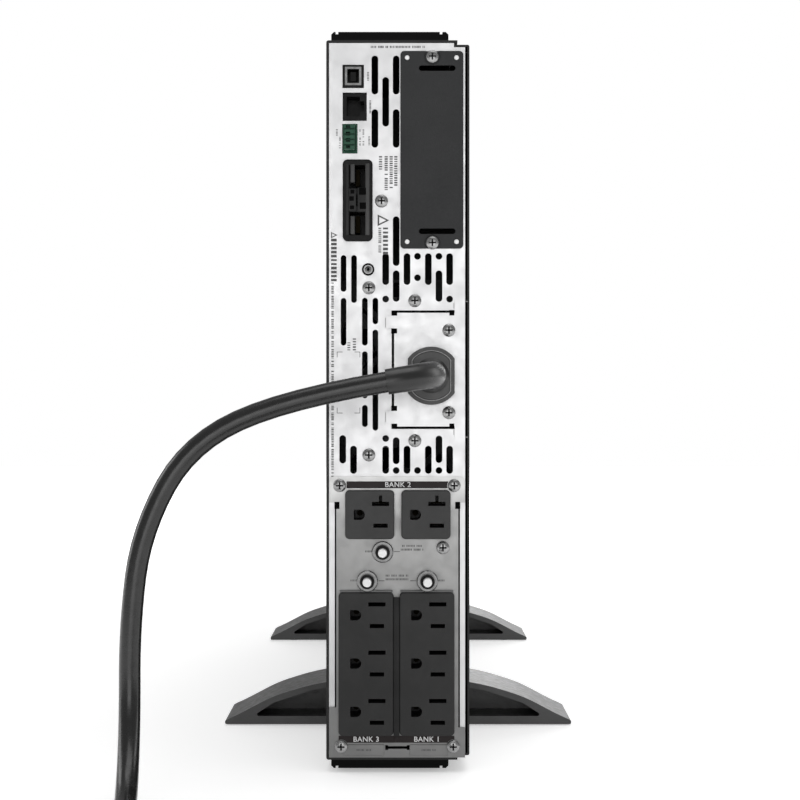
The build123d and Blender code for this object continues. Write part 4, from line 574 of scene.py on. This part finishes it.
# %% Screws on the panel
ZINC_HEAD = dict(Radius=0.0039, Height=0.0022, Shank=0.0017, Length=0.007, Material=nickel)
PANEL_SCREWS = [(-9.8, 119.4), (-17.4, 67.3), (10.2, 59.6), (10.2, -24.4), (-17.4, -33.0)]
CABLE_PLATE_SCREWS = [(30.6, 41.8), (30.6, -7.6)]
SLOT_SCREWS = [(20.7, 205.9), (20.7, 94.3)]
OUTLET_PLATE_SCREWS = [(-34.9, -51.3), (33.8, -51.3), (27.0, -88.5), (-34.0, -207.7), (33.2, -207.7)]
SLOT_SEAT = 0.8
RECESS_REACH, RECESS_RISE = 0.62, 0.82  # where a recess's faces lie, of the head's radius and height
recess_painted_shade = moulding("recess_painted_shade", 0.02, 0.03, 0.5, 0.6, specular=0.1)


def screw_set(name, places, seat):
    """Screws at places on the rear face, seated `seat` mm out. The faces low in each cross get a painted shade."""
    heads = grow(name, screw, on_back(0, 0, seat), places, **ZINC_HEAD)
    heads.data.materials.append(recess_painted_shade)
    for face in heads.data.polygons:
        x, v = face.center.x / MM, (face.center.z - MIDDLE) / MM
        off_axis = min(math.hypot(x - sx, v - sv) for sx, sv in places) * MM
        above_seat = BACK - face.center.y - seat * MM
        low_down = 0.0 < above_seat < RECESS_RISE * ZINC_HEAD["Height"]
        if low_down and off_axis < RECESS_REACH * ZINC_HEAD["Radius"]:
            # Painted shade in the cross recess.
            face.material_index = len(heads.data.materials) - 1
    return heads


SCREW_SETS = ((PANEL_SCREWS, 0.0), (CABLE_PLATE_SCREWS, PLATE_OUT), (SLOT_SCREWS, SLOT_SEAT),
              (OUTLET_PLATE_SCREWS, PLATE_OUT))
heads = [screw_set("screws", places, seat) for places, seat in SCREW_SETS]
keep(joined("panel_screw_heads", heads[:2]), "chassis", "screw_steel", "panel_screws")
keep(joined("plate_screw_heads", heads[2:]), "chassis", "screw_steel", "plate_screws")

# %% [markdown]
# ## Rivets and recesses of the slot cover
#
# Four white nylon rivets hold the slot cover's corners. Each is a low dome, so the tree is half of a flattened
# sphere on every point. The cover's two screws sit in black recesses, which the CAD cover already has.

# %% Dome tree
SLOT_COVER_AT, RIVET_REACH, RIVET_SEAT = (20.4, 150.1), (14.8, 55.2), 1.4
dome_tree = Tree("dome", Radius="Float", Height="Float", Material="Material")
radius, height = dome_tree.entry["Radius"], dome_tree.entry["Height"]
ball = dome_tree.moved(dome_tree.ball(24, 12), (0.0, 0.0, 0.0), dome_tree.vector(radius, radius, height))
above = dome_tree.moved(dome_tree.cube(1.0, 1.0, 1.0), (0.0, 0.0, 0.5))
dome_tree.stand(dome_tree.boolean("INTERSECT", ball, above))
(cover_x, cover_v), (reach_x, reach_v) = SLOT_COVER_AT, RIVET_REACH
SLOT_RIVETS = [(cover_x + reach_x * a, cover_v + reach_v * b) for a in (1, -1) for b in (1, -1)]
rivets = grow("nylon_rivets", dome_tree, on_back(0, 0, RIVET_SEAT), SLOT_RIVETS,
              Radius=0.0014, Height=0.0008, Material=white_plastic)
keep(rivets, "chassis", "white_plastic", "slot_cover_rivets")

# %% [markdown]
# ## Ribs
#
# The green emergency-off plug has four ways, and a dark band crosses each. One tree stands blocks along a line,
# and its inputs are the count, the pitch and the size of one block. The bands are put in place with the ports.

# %% Rib tree
ribs = Tree("ribs", Count="Int", Pitch="Float", Width="Float", Length="Float", Height="Float",
            Material="Material")
count, pitch = ribs.entry["Count"], ribs.entry["Pitch"]
line = ribs.node("GeometryNodeMeshLine", Count=count, Offset=ribs.vector(0.0, pitch, 0.0)).outputs["Mesh"]
half_span = ribs.times(ribs.math("SUBTRACT", count, 1.0), -0.5)
centred = ribs.moved(line, ribs.vector(0.0, ribs.times(half_span, pitch), 0.0))
ribs.stand(ribs.cube(ribs.entry["Width"], ribs.entry["Length"], ribs.entry["Height"]), centred)
print("rib tree:", len(ribs.group.nodes), "nodes")

# %% [markdown]
# ## Printing
#
# Real panels carry rows of small print. Here it is only suggested: each line is a row of tiny flat blocks with
# gaps for the spaces, so that no word can be read. A grid gives the places, a random choice deletes some, and
# another random value varies the width of each block.

# %% Print tree and ink
LETTER_PITCH, INK_LIFT, INK_RISE = 0.66, 0.02, 0.00004
SPACES = 0.16  # the share of letters left out
ink = moulding("print_ink", 0.05, 0.07, 0.5, 0.6)
pale_ink = moulding("pale_ink", 0.62, 0.72, 0.5, 0.6)
lines_tree = Tree("print_lines", Letters="Int", Lines="Int", Width="Float", Height="Float", Stroke="Float",
                  Gaps="Float", Seed="Int", Material="Material")
entry = lines_tree.entry
letters = lines_tree.node("GeometryNodeMeshGrid", Size_X=entry["Width"], Size_Y=entry["Height"],
                          Vertices_X=entry["Letters"], Vertices_Y=entry["Lines"]).outputs["Mesh"]
blank = lines_tree.random("BOOLEAN", entry["Seed"], Probability=entry["Gaps"])
kept = lines_tree.node("GeometryNodeDeleteGeometry", Geometry=letters, Selection=blank).outputs["Geometry"]
letter_w = lines_tree.math("DIVIDE", entry["Width"], lines_tree.math("MAXIMUM", entry["Letters"], 1.0))
letter = lines_tree.cube(letter_w, entry["Stroke"], INK_RISE)
letter_scale = lines_tree.vector(lines_tree.random("FLOAT", entry["Seed"], 0.45, 0.8), 1.0, 1.0)
lines_tree.stand(letter, kept, letter_scale)
prints = {"panel": [], "plate": []}


def print_block(sheet, x, v, width, stroke, gaps=SPACES, lines=1, spread=0.0, turn=0.0, out=None):
    """Lines of print in a block `spread` high, centred at x, v on a sheet. Sizes are in mm."""
    letters_per_line = max(2, round(width / (LETTER_PITCH * stroke)))
    proud = PLATE_OUT if sheet == "plate" else 0.0
    prints[sheet].append(
        grow("print", lines_tree, on_back(x, v, (out or proud) + INK_LIFT, turn),
             Letters=letters_per_line, Lines=lines, Width=width * MM, Height=spread * MM, Stroke=stroke * MM,
             Gaps=gaps, Seed=len(prints[sheet]) + lines, Material=ink)
    )


print("print tree:", len(lines_tree.group.nodes), "nodes")

# %% Lines of print on the panel
COLUMN_HEAD = 146.0
COLUMN_FEET = ((-10.4, 138.7), (-7.0, 126.3), (-4.0, 127.6), (-1.2, 129.1))  # x and foot of each column
SIDE_PRINT = (  # x, v, length, stroke, share of gaps, lines and their spread: it reads down the panel
    (-39.2, 8.7, 123.0, 1.5), (-38.4, 84.0, 24.0, 3.4, 0.0),
    *((x, (COLUMN_HEAD + foot) / 2, COLUMN_HEAD - foot, 1.9, 0.1) for x, foot in COLUMN_FEET),
    (-7.4, 95.6, 14.8, 3.0, 0.0), (-10.8, 96.0, 14.2, 1.7),
    (-17.9, 194.3, 4.6, 1.1, 0.0), (-16.6, 176.0, 7.2, 1.1, 0.0),
    (-17.2, 155.6, 4.8, 1.1, 0.0), (-36.6, 160.6, 3.4, 1.1, 0.0),
    (-21.7, 157.6, 9.2, 1.0, 0.45, 2, 2.0), (-34.8, 154.6, 6.4, 1.0, 0.5),
    (-26.1, 33.4, 6.4, 1.9, 0.0), (-29.4, 32.2, 4.2, 1.8, 0.0),
)
PLATE_PRINT = (
    (8.5, -88.6, 13.0, 1.2, SPACES, 2, 2.2), (-0.5, -106.4, 13.0, 1.2, SPACES, 2, 2.2),
    (-17.6, -90.8, 3.4, 1.1, 0.0), (-26.4, -108.2, 3.4, 1.1, 0.0), (26.0, -108.2, 3.4, 1.1, 0.0),
)
print_block("panel", 0.0, 212.0, 32.0, 1.3)
for row in SIDE_PRINT:
    print_block("panel", *row, turn=-QUARTER)
for row in PLATE_PRINT:
    print_block("plate", *row)
print("print blocks:", {sheet: len(blocks) for sheet, blocks in prints.items()})

# %% [markdown]
# ## Marks on the panel
#
# Some print is not lettering: two triangles, the four corners of a blank label's frame and a leader line beside
# each breaker. They are thin flat pieces. `flat_shape` turns an outline in millimetres into such a piece.

# %% Flat marks
INK_T = 0.00005


def solid(name, shape, material, place):
    """Ends a bmesh as an object."""
    mesh = bpy.data.meshes.new(name)
    shape.to_mesh(mesh)
    shape.free()
    return add_object(name, mesh, material, place)


def flat_shape(name, outlines, place, material, thickness=INK_T):
    """A flat piece of that thickness from outlines in mm, each a list of 2-D points, counterclockwise."""
    shape = bmesh.new()
    for outline in outlines:
        low, high = ([shape.verts.new((x * MM, v * MM, z)) for x, v in outline] for z in (0.0, thickness))
        shape.faces.new(high)
        shape.faces.new(list(reversed(low)))
        for i in range(len(low)):
            j = (i + 1) % len(low)
            shape.faces.new((low[i], low[j], high[j], high[i]))
    return solid(name, shape, material, place)


def flat_on_back(name, outlines, out, material, thickness=INK_T):
    """A flat piece `out` mm proud of the rear panel, its outlines counted from the panel's middle."""
    return flat_shape(name, outlines, on_back(0, 0, out), material, thickness)


def bar(x0, v0, x1, v1):
    """A rectangle's outline from two opposite corners."""
    (x0, x1), (v0, v1) = sorted((x0, x1)), sorted((v0, v1))
    return [(x0, v0), (x1, v0), (x1, v1), (x0, v1)]


def triangle_frame(x, v, size, line):
    """The three sides of a triangle that points to +X, as outlines."""
    corners = [(x + size * 0.55, v), (x - size * 0.45, v + size / 2), (x - size * 0.45, v - size / 2)]
    middle = (sum(c[0] for c in corners) / 3, sum(c[1] for c in corners) / 3)
    inner = [(middle[0] + (a - middle[0]) * line, middle[1] + (b - middle[1]) * line) for a, b in corners]
    return [[corners[i], corners[(i + 1) % 3], inner[(i + 1) % 3], inner[i]] for i in range(3)]


LABEL_CORNERS = ((-36.6, -8.0, 1, 1), (-36.6, 29.0, 1, -1), (-22.6, -8.0, -1, 1), (-22.6, 29.0, -1, -1))
MARK_L, MARK_W = 3.4, 0.35
LEADERS = ((-2.2, -91.1, 1.2, -90.7), (-11.4, -108.6, -8.0, -108.2), (7.4, -108.6, 10.8, -108.2))
marks = []
for x, v, a, b in LABEL_CORNERS:
    marks += [bar(x, v, x + a * MARK_L, v + b * MARK_W), bar(x, v, x + a * MARK_W, v + b * MARK_L)]
marks += triangle_frame(-9.0, 107.9, 7.0, 0.6) + triangle_frame(-38.4, 99.0, 3.8, 0.5)
prints["panel"].append(flat_on_back("marks", marks, 0.0, ink))
prints["plate"].append(flat_on_back("leaders", [bar(*leader) for leader in LEADERS], PLATE_OUT, ink))
print("marks:", len(marks), "outlines on the panel,", len(LEADERS), "on the plate")

# %% [markdown]
# ## Soft blocks
#
# Moulds and press tools leave no sharp edges, so ribs, lips and pads are boxes that one function bevels.

# %% Soft blocks
def soft_block(name, low, high, bevel, material, place, segments=4):
    """A block between two corners with rounded edges, stood on its place. Sizes are in mm."""
    low, high = Vector([c * MM for c in low]), Vector([c * MM for c in high])
    shape = bmesh.new()
    bmesh.ops.create_cube(shape, size=1.0)
    middle, size = (low + high) / 2, high - low
    for vertex in shape.verts:
        vertex.co = Vector(c * s for c, s in zip(vertex.co, size)) + middle
    bmesh.ops.bevel(shape, geom=shape.edges[:], offset=bevel * MM, segments=segments, affect="EDGES", profile=0.5)
    for face in shape.faces:
        face.smooth = True
    return solid(name, shape, material, place)


# %% [markdown]
# ## Slit corners, ground ring and gland rim
#
# Where the plates' slits turn, the punch leaves small square holes, and black squares paint the shade inside them.
# A black washer lies round the ground stud, whose hole is a painted shade too, and the gland's flange has a
# darker raised rim whose light inner edge is a painted highlight.

# %% Corners, ring and rim
def ring_of(x, v, inner, outer, half_width=1000.0, start=0.0, end=360.0, steps=48):
    """A flat ring or an arc of one, in degrees, as outlines whose sides are cut straight at half_width, in mm."""
    def rim_point(radius, cut, i):
        angle = math.radians(start + (end - start) * i / steps)
        return (x + max(-cut, min(cut, radius * math.cos(angle))), v + radius * math.sin(angle))
    cut = half_width - (outer - inner)
    return [[rim_point(inner, cut, i), rim_point(outer, half_width, i), rim_point(outer, half_width, i + 1),
             rim_point(inner, cut, i + 1)] for i in range(steps)]


# Black for the painted shade in holes, and the washer's own black.
hole_shade_and_black = moulding("hole_shade_and_black_finish", 0.002, 0.003, 0.8, 0.95, specular=0.02)
joint_grey = moulding("joint_grey", 0.30, 0.38, 0.5, 0.6)
rim_black = moulding("rim_black", 0.010, 0.014, 0.25, 0.35)
# Painted highlight for the gland rim's inner edge.
edge_painted_highlight = moulding("edge_painted_highlight", 0.20, 0.28, 0.15, 0.25)
CORNERS = [(-2.1, 52.1, 3.4, 3.0), (32.4, 52.3, 3.0, 3.2), (-2.2, 41.4, 3.5, 3.0), (-2.2, -5.0, 3.5, 3.0),
           (-2.1, -15.7, 3.4, 3.0), (32.4, -15.7, 3.0, 3.2), (-36.5, -63.2, 3.0, 4.2), (35.9, -63.2, 3.0, 4.2)]
JOINTS = [(35.4, 59.0, 41.9, 59.4), (33.4, 54.9, 33.8, 58.2), (35.4, -22.5, 41.9, -22.1),
          (33.4, -21.0, 33.8, -17.6), (-7.6, 43.6, -7.2, 49.4), (-7.6, -13.2, -7.2, -7.4)]
JOINT_OUT, CORNER_LIFT = 0.03, 0.02
GROUND_AT, WASHER, STUD_R, STUD_SUNK, WASHER_T = (-17.8, 78.3), (2.7, 3.7), 0.9, 0.6, 0.0001
GLAND_AT, GLAND_R, GLAND_HALF = (20.0, 14.5), 17.3, 13.9
RIM_W, EDGE_W, RIM_T, EDGE_T = 2.2, 0.4, 0.0003, 0.0002
prints["panel"].append(flat_on_back("joints", [bar(*joint) for joint in JOINTS], JOINT_OUT, joint_grey))
corner_bars = [bar(x - w / 2, v - h / 2, x + w / 2, v + h / 2) for x, v, w, h in CORNERS]
# Painted shade: black squares stand for the inside of the punched holes.
corners = flat_on_back("corners", corner_bars, PLATE_OUT + CORNER_LIFT, hole_shade_and_black)
ground_out = stands_out("ground_terminal")
washer = flat_on_back("washer", ring_of(*GROUND_AT, *WASHER), ground_out, hole_shade_and_black, WASHER_T)
# Painted shade: a black disc stands for the stud's hole.
stud = flat_on_back("stud_hole", ring_of(*GROUND_AT, 0.0, STUD_R), ground_out - STUD_SUNK, hole_shade_and_black, WASHER_T)
keep(joined("punched_corners", [corners, washer, stud]), "chassis", "label_black")
gland_out, rim_inner = stands_out("cable_gland"), GLAND_R - RIM_W
rim = flat_on_back("gland_rim", ring_of(*GLAND_AT, rim_inner, GLAND_R, GLAND_HALF), gland_out, rim_black, RIM_T)
edge_ring = ring_of(*GLAND_AT, rim_inner - EDGE_W, rim_inner, GLAND_HALF - RIM_W)
# Painted highlight: a light glossy ring along the rim's inner edge.
edge = flat_on_back("gland_edge", edge_ring, gland_out, edge_painted_highlight, EDGE_T)
keep(joined("gland_rim", [rim, edge]), "chassis", "outlet_black")

# %% [markdown]
# ## Names of the outlet banks
#
# The outlets are switched in banks, and each bank has its number on a dark strip. The words are generic. Text
# objects are turned into plain meshes before they are put in place.

# %% Bank names
def lettering(name, words, size, place, material, thickness=INK_T):
    """Words as a thin mesh, centred on their place. The size is in mm."""
    text = bpy.data.curves.new(name, "FONT")
    text.body = words
    text.size = size * MM
    text.extrude = thickness / 2
    text.align_x = text.align_y = "CENTER"
    text.space_character = LETTER_SPACE
    text.offset = size * MM * BOLDER
    carrier = bpy.data.objects.new(name, text)
    mesh = bpy.data.meshes.new_from_object(carrier)
    bpy.data.objects.remove(carrier)
    return add_object(name, mesh, material, place)


BANK_LETTER, BOLDER, LETTER_SPACE = 4.3, 0.012, 1.08
strip = moulding("label_strip", (0.012, 0.008, 0.008), (0.016, 0.011, 0.011), 0.35, 0.45,
                 "bank_labels", specular=0.2)
label_out = stands_out("bank_labels")
BANK_NAMES = (("BANK 2", 0.0, -50.85), ("BANK 3", -19.0, -203.5), ("BANK 1", 17.4, -203.5))
names = [lettering("bank", words, BANK_LETTER, on_back(x, v, label_out), pale_ink) for words, x, v in BANK_NAMES]
keep(joined("bank_names", names), "chassis", "white_plastic")
keep(joined("panel_printing", prints["panel"]), "chassis", "label_black")

# %% [markdown]
# ## Trim round the outlet banks
#
# A dark block paints the shade in the gap between the two banks, and the strip with their names runs on across
# it. Over each bank the plate's edge turns out as a thin lip, which a pressed hole often has, and its light grey
# is a painted highlight.

# %% Bank trim
bank_boxes = [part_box(bank) for bank in ("outlet_bank_3", "outlet_bank_1")]
bank_edges = [(low.x / MM, high.x / MM) for low, high in bank_boxes]
bank_foot, bank_top = ((corner.z - MIDDLE) / MM for corner in bank_boxes[1])
gap_left, gap_right = bank_edges[0][1], bank_edges[1][0]
lip_painted_highlight = moulding("lip_painted_highlight", 0.10, 0.13, 0.35, 0.45)
gap_painted_shade = moulding("gap_painted_shade", 0.010, 0.014, 0.45, 0.55, specular=0.2)
GAP_SHADE_OUT, GAP_SHADE_DROP, STRIP_OUT, STRIP_OVER = 3.2, 3.0, 0.2, 1.0
STRIP_FOOT, STRIP_TOP = 4.4, 0.2  # below the banks' foot
LIP_H, LIP_OUT, LIP_INSET, LIP_SUNK = 1.3, 1.8, 0.6, 0.2
gap_shade_box = (gap_left, bank_foot, 0.0), (gap_right, bank_top - GAP_SHADE_DROP, GAP_SHADE_OUT)
strip_low = gap_left - STRIP_OVER, bank_foot - STRIP_FOOT, 0.0
strip_high = gap_right + STRIP_OVER, bank_foot - STRIP_TOP, STRIP_OUT
on_plate = on_back(0, 0, PLATE_OUT)
trim = [
    # Painted shade: the dark block in the gap between the banks.
    soft_block("gap_shade", *gap_shade_box, 0.2, gap_painted_shade, on_plate, 2),
    soft_block("strip_gap", strip_low, strip_high, 0.05, strip, on_plate, 1),
]
for left, right in bank_edges:
    lip_low = left + LIP_INSET, bank_top - LIP_SUNK, 0.0
    lip_high = right - LIP_INSET, bank_top + LIP_H, LIP_OUT
    # Painted highlight: the lip's light grey.
    trim.append(soft_block("lip", lip_low, lip_high, 0.6, lip_painted_highlight, on_plate))
keep(joined("bank_trim", trim), "chassis", "outlet_black")
print("bank trim: gap", round(gap_right - gap_left, 2), "mm wide")

# %% [markdown]
# ## Pressed tabs of the outlet plate
#
# Two low pads are pressed out of the plate's foot, one each side of the key slot, and carry small print. A
# pressed pad has soft sloping sides, so a flat block gets a wide bevel and smooth shading.

# %% Pressed tabs
TAB_SPANS, TAB_FOOT, TAB_HEAD, TAB_RISE, TAB_SINK = ((-32.7, -8.2), (7.0, 30.0)), -213.2, -206.6, 0.45, 0.4
TAB_PRINT_V, TAB_PRINT_L, TAB_STROKE = -209.8, 8.0, 1.1
tabs = []
for x0, x1 in TAB_SPANS:
    tab_box = (x0, TAB_FOOT, -TAB_SINK), (x1, TAB_HEAD, TAB_RISE)
    tabs.append(soft_block("tab", *tab_box, 0.4, outlet_zinc_painted_shade, on_plate))
    print_block("plate", (x0 + x1) / 2, TAB_PRINT_V, TAB_PRINT_L, TAB_STROKE, out=PLATE_OUT + TAB_RISE)
keep(joined("pressed_tabs", tabs), "chassis", "plate_grey")
keep(joined("plate_printing", prints["plate"]), "chassis", "label_black")

# %% [markdown]
# ## Inside the ports
#
# Ports are small, but the eye goes to them. The square port has a steel shell inside its black frame. The
# battery connector is a deep moulding with ribs along both long sides, and a block of small signal sockets
# between its two wells, whose openings are dark blocks of painted shade. Thin frames and soft blocks, placed
# from the nodes' own boxes, are enough for both.

# %% Port shells and connector ribs
dull_steel = bright_metal("dull_steel", 0.16, 0.22, 0.35, 0.5)
rib_plastic = moulding("rib_plastic", 0.040, 0.050, 0.35, 0.45, specular=0.25)
dim_plastic = moulding("dim_plastic", 0.014, 0.018, 0.4, 0.5, specular=0.2)
socket_hole_shade = moulding("socket_hole_shade", 0.002, 0.003, 0.7, 0.9, specular=0.05)


def frame_of(x, v, width, height, line):
    """The four bars of a rectangular frame, as outlines."""
    x0, x1, v0, v1 = x - width / 2, x + width / 2, v - height / 2, v + height / 2
    return [
        bar(x0, v0, x1, v0 + line), bar(x0, v1 - line, x1, v1), bar(x0, v0 + line, x0 + line, v1 - line),
        bar(x1 - line, v0 + line, x1, v1 - line)
    ]


USB_W, USB_H, USB_LINE, USB_T = 9.8, 11.0, 1.3, 0.0004
usb_frame = frame_of(*centre_on_back("usb_port"), USB_W, USB_H, USB_LINE)
shell = flat_on_back("usb_shell", usb_frame, stands_out("usb_port"), dull_steel, USB_T)
keep(shell, "chassis", "bare_steel")

RIB_SUNK, RIB_BEVEL, SOCKET_OUT, SOCKET_BEVEL = -6.0, 0.5, 0.62, 0.25
CONNECTOR_BLOCKS = (  # finish, place across and up, width, height and how far out, in mm
    (rib_plastic, -3.0, 16.1, 2.6, 11.0, 0.3), (rib_plastic, -3.0, -15.0, 2.6, 11.0, 0.3),
    (rib_plastic, 5.9, 0.5, 2.6, 43.0, 0.6), (dim_plastic, -6.2, 0.5, 1.8, 43.0, 0.3),
    (dim_plastic, -3.2, 0.2, 4.8, 13.4, 0.5), (dim_plastic, 2.7, 0.2, 5.6, 14.6, 0.5)
)
SIGNAL_SOCKETS = (  # place across and up, width and height, in mm
    (-3.1, 5.0, 2.4, 2.4), (-3.6, 0.9, 2.8, 2.8), (-3.3, -4.4, 2.6, 2.4), (3.0, 5.2, 4.4, 4.2),
    (3.2, -3.4, 4.0, 4.0)
)
batt_x, batt_v = centre_on_back("battery_connector")
on_connector = on_back(0, 0, stands_out("battery_connector"))
rib_rows = [("rib", *row, RIB_SUNK, RIB_BEVEL) for row in CONNECTOR_BLOCKS]
# Painted shade: the signal sockets' openings are dark blocks.
socket_rows = [("socket", socket_hole_shade, *row, SOCKET_OUT, 0.0, SOCKET_BEVEL) for row in SIGNAL_SOCKETS]
connector_parts = []
for name, finish, x, v, width, height, out, sunk, bevel in rib_rows + socket_rows:
    low = (batt_x + x - width / 2, batt_v + v - height / 2, sunk)
    high = (batt_x + x + width / 2, batt_v + v + height / 2, out)
    connector_parts.append(soft_block(name, low, high, bevel, finish, on_connector, 3))
keep(joined("battery_connector_ribs", connector_parts), "chassis", "outlet_black")

deep_green = moulding("deep_green", (0.003, 0.018, 0.010), (0.005, 0.024, 0.014), 0.4, 0.5, specular=0.1)
on_epo = on_back(*centre_on_back("epo_plug"), stands_out("epo_plug"))
grooves = grow("epo_plug_ribs", ribs, on_epo, Count=4, Pitch=3.2 * MM, Width=6.0 * MM,
               Length=0.9 * MM, Height=0.12 * MM, Material=deep_green)
keep(grooves, "epo_plug", "epo_green")

# %% [markdown]
# ## Display
#
# The front carries a small liquid-crystal display behind a dark window, four menu buttons and a power button.
# The display's own content is simple: a load bar, a battery bar and two lines of figures drawn as blocks. The
# lit parts are a flat glow behind the window's front face.

# %% Display graphics
DIM_SHARE = 0.8


def glow(name, colour, strength):
    """A softly lit finish."""
    finish = new_finish(name, colour, 0.4)
    shader = finish.node_tree.nodes["Principled BSDF"]
    shader.inputs["Emission Color"].default_value = (*colour, 1.0)
    shader.inputs["Emission Strength"].default_value = strength
    dim = tuple(DIM_SHARE * c for c in colour)
    drive(finish, "Base Color", ramp_of(finish, grain(finish, 0.004), ((DARKEST_AT, dim), (LIGHTEST_AT, colour))))
    return finish


window_low, window_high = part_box("display_window")
window_v = ((window_low.z + window_high.z) / 2 - MIDDLE) / MM
window_out = (window_high.y - FRONT) / MM
backlight = glow("display_backlight", (0.16, 0.42, 0.62), 0.35)
lcd_ink = moulding("lcd_ink", (0.004, 0.012, 0.03), (0.006, 0.018, 0.04), 0.2, 0.3)
lit_green = glow("power_light", (0.1, 0.8, 0.25), 1.2)
lit_area = bar(-21.0, -14.0, 21.0, 14.0)
display_face = flat_shape("display_face", [lit_area], on_front(0, window_v, window_out), backlight)
keep(display_face, "chassis", "display_glass")
LCD_ROWS = ((8.5, 9, 0.8), (2.6, 7, 0.55))  # height, number of figures and their share of the pitch
ROW_LEFT, FIGURE_PITCH, FIGURE_HALF = -17.5, 4.0, 1.6
GAUGES = ((-10.5, -17.0, -15.1, 4), (10.0, 3.5, 5.4, 3))  # middle, the first bar's sides, the number of bars
GAUGE_SHAPE, BAR_FOOT, BAR_TOP, BAR_PITCH = (-7.5, 15.0, 6.0, 0.5), -9.4, -5.6, 2.7
segments = []
for middle, left, right, count in GAUGES:
    segments += frame_of(middle, *GAUGE_SHAPE)
    segments += [bar(left + BAR_PITCH * i, BAR_FOOT, right + BAR_PITCH * i, BAR_TOP) for i in range(count)]
for v, count, share in LCD_ROWS:
    starts = [ROW_LEFT + FIGURE_PITCH * i for i in range(count)]
    segments += [bar(x, v - FIGURE_HALF, x + FIGURE_PITCH * share, v + FIGURE_HALF) for x in starts]
lcd = flat_shape("display_segments", segments, on_front(0, window_v, window_out + 0.05), lcd_ink)
keep(lcd, "chassis", "display_glass")

# %% Button symbols
BUTTON_INK_OUT = 0.01


def button_place(name):
    """Stands local XY on a button's face."""
    low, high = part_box(name)
    middle = (low + high) / 2
    return on_front(-middle.x / MM, (middle.z - MIDDLE) / MM, (high.y - FRONT) / MM + BUTTON_INK_OUT)


SYMBOLS = {
    "up_button": [[(-1.6, -0.9), (1.6, -0.9), (0.0, 1.4)]],
    "down_button": [[(-1.6, 0.9), (0.0, -1.4), (1.6, 0.9)]],
    "ok_button": [
        [(-1.7, 0.1), (-1.2, 0.6), (-0.4, -0.3), (-0.4, -1.3)],
        [(-0.4, -1.3), (-0.4, -0.3), (1.3, 1.4), (1.8, 0.9)]
    ],
    "escape_button": ring_of(0.0, 0.0, 1.0, 1.5, start=-150, end=120, steps=18) + [
        [(-2.3, 0.1), (-0.4, 0.1), (-1.3, 1.6)]
    ],
    "power_button": ring_of(0.0, 0.0, 2.2, 2.9, start=-240, end=60, steps=28) + [bar(-0.35, 0.8, 0.35, 3.6)],
}
for name, outlines in SYMBOLS.items():
    finish = lit_green if name == "power_button" else pale_ink
    symbol = flat_shape(name + "_symbol", outlines, button_place(name), finish)
    keep(symbol, name, "button_grey")

# %% [markdown]
# ## Floor and light
#
# The unit stands on a plain white floor under soft light. A large panel behind the camera gives the bare metal
# something bright to mirror, a softer one overhead lifts the tops of the feet and the cord, and two side
# panels put a thin highlight down the case's edges. The world is white, and so is what the camera sees of it.

# %% Floor
FLOOR_HALF = 4.0
GLOW_NEAR, GLOW_FAR = 0.45, 1.3
floor_finish = new_finish("floor_white", 0.93, 0.7, specular=0.2)
floor_shader = floor_finish.node_tree.nodes["Principled BSDF"]
floor_shader.inputs["Emission Color"].default_value = (1.0, 1.0, 1.0, 1.0)
tree = floor_finish.node_tree
distance = tree.nodes.new("ShaderNodeVectorMath")
distance.operation = "LENGTH"
tree.links.new(tree.nodes.new("ShaderNodeTexCoord").outputs["Object"], distance.inputs[0])
glow_up = remap(tree, distance.outputs["Value"], From_Min=GLOW_NEAR, From_Max=GLOW_FAR, To_Min=0.38, To_Max=0.85)
tree.links.new(glow_up, floor_shader.inputs["Emission Strength"])
floor_mesh = bpy.data.meshes.new("floor")
floor_corners = [(a * FLOOR_HALF, b * FLOOR_HALF, 0.0) for a, b in ((-1, -1), (1, -1), (1, 1), (-1, 1))]
floor_mesh.from_pydata(floor_corners, [], [(0, 1, 2, 3)])
floor_mesh.materials.append(floor_finish)
floor = add_object("floor", floor_mesh)

# %% Lights
world = bpy.data.worlds.new("studio")
world.use_nodes = True
bpy.context.scene.world = world
sky = world.node_tree.nodes["Background"]
sky.inputs["Color"].default_value = (1.0, 1.0, 1.0, 1.0)
WORLD_SEEN, WORLD_LIGHT = 1.0, 0.40
ray = world.node_tree.nodes.new("ShaderNodeLightPath")
strength = remap(world.node_tree, ray.outputs["Is Camera Ray"], To_Min=WORLD_LIGHT, To_Max=WORLD_SEEN)
world.node_tree.links.new(strength, sky.inputs["Strength"])


def softbox(name, place, target, width, height, power):
    """A rectangular light that looks at its target."""
    lamp = bpy.data.lights.new(name, "AREA")
    lamp.shape = "RECTANGLE"
    lamp.size = width
    lamp.size_y = height
    lamp.energy = power
    light = bpy.data.objects.new(name, lamp)
    light.location = place
    light.rotation_euler = (Vector(target) - Vector(place)).to_track_quat("-Z", "Y").to_euler()
    bpy.context.scene.collection.objects.link(light)


softbox("front_panel", (0.1, -3.2, 0.5), (0.0, -0.3, 0.25), 1.8, 1.4, 15.5)
softbox("overhead", (0.2, -0.4, 2.0), (0.0, -0.1, 0.2), 1.6, 1.6, 14.0)
softbox("left_panel", (-2.2, 0.4, 0.9), (0.0, 0.0, 0.2), 1.0, 1.6, 12.0)
softbox("right_panel", (2.2, 0.6, 1.0), (0.0, 0.0, 0.2), 1.0, 1.6, 10.0)
softbox("rear_panel_light", (0.6, 2.6, 1.1), (0.0, 0.3, 0.25), 1.6, 1.2, 20.0)
print("lights:", len(bpy.data.lights))
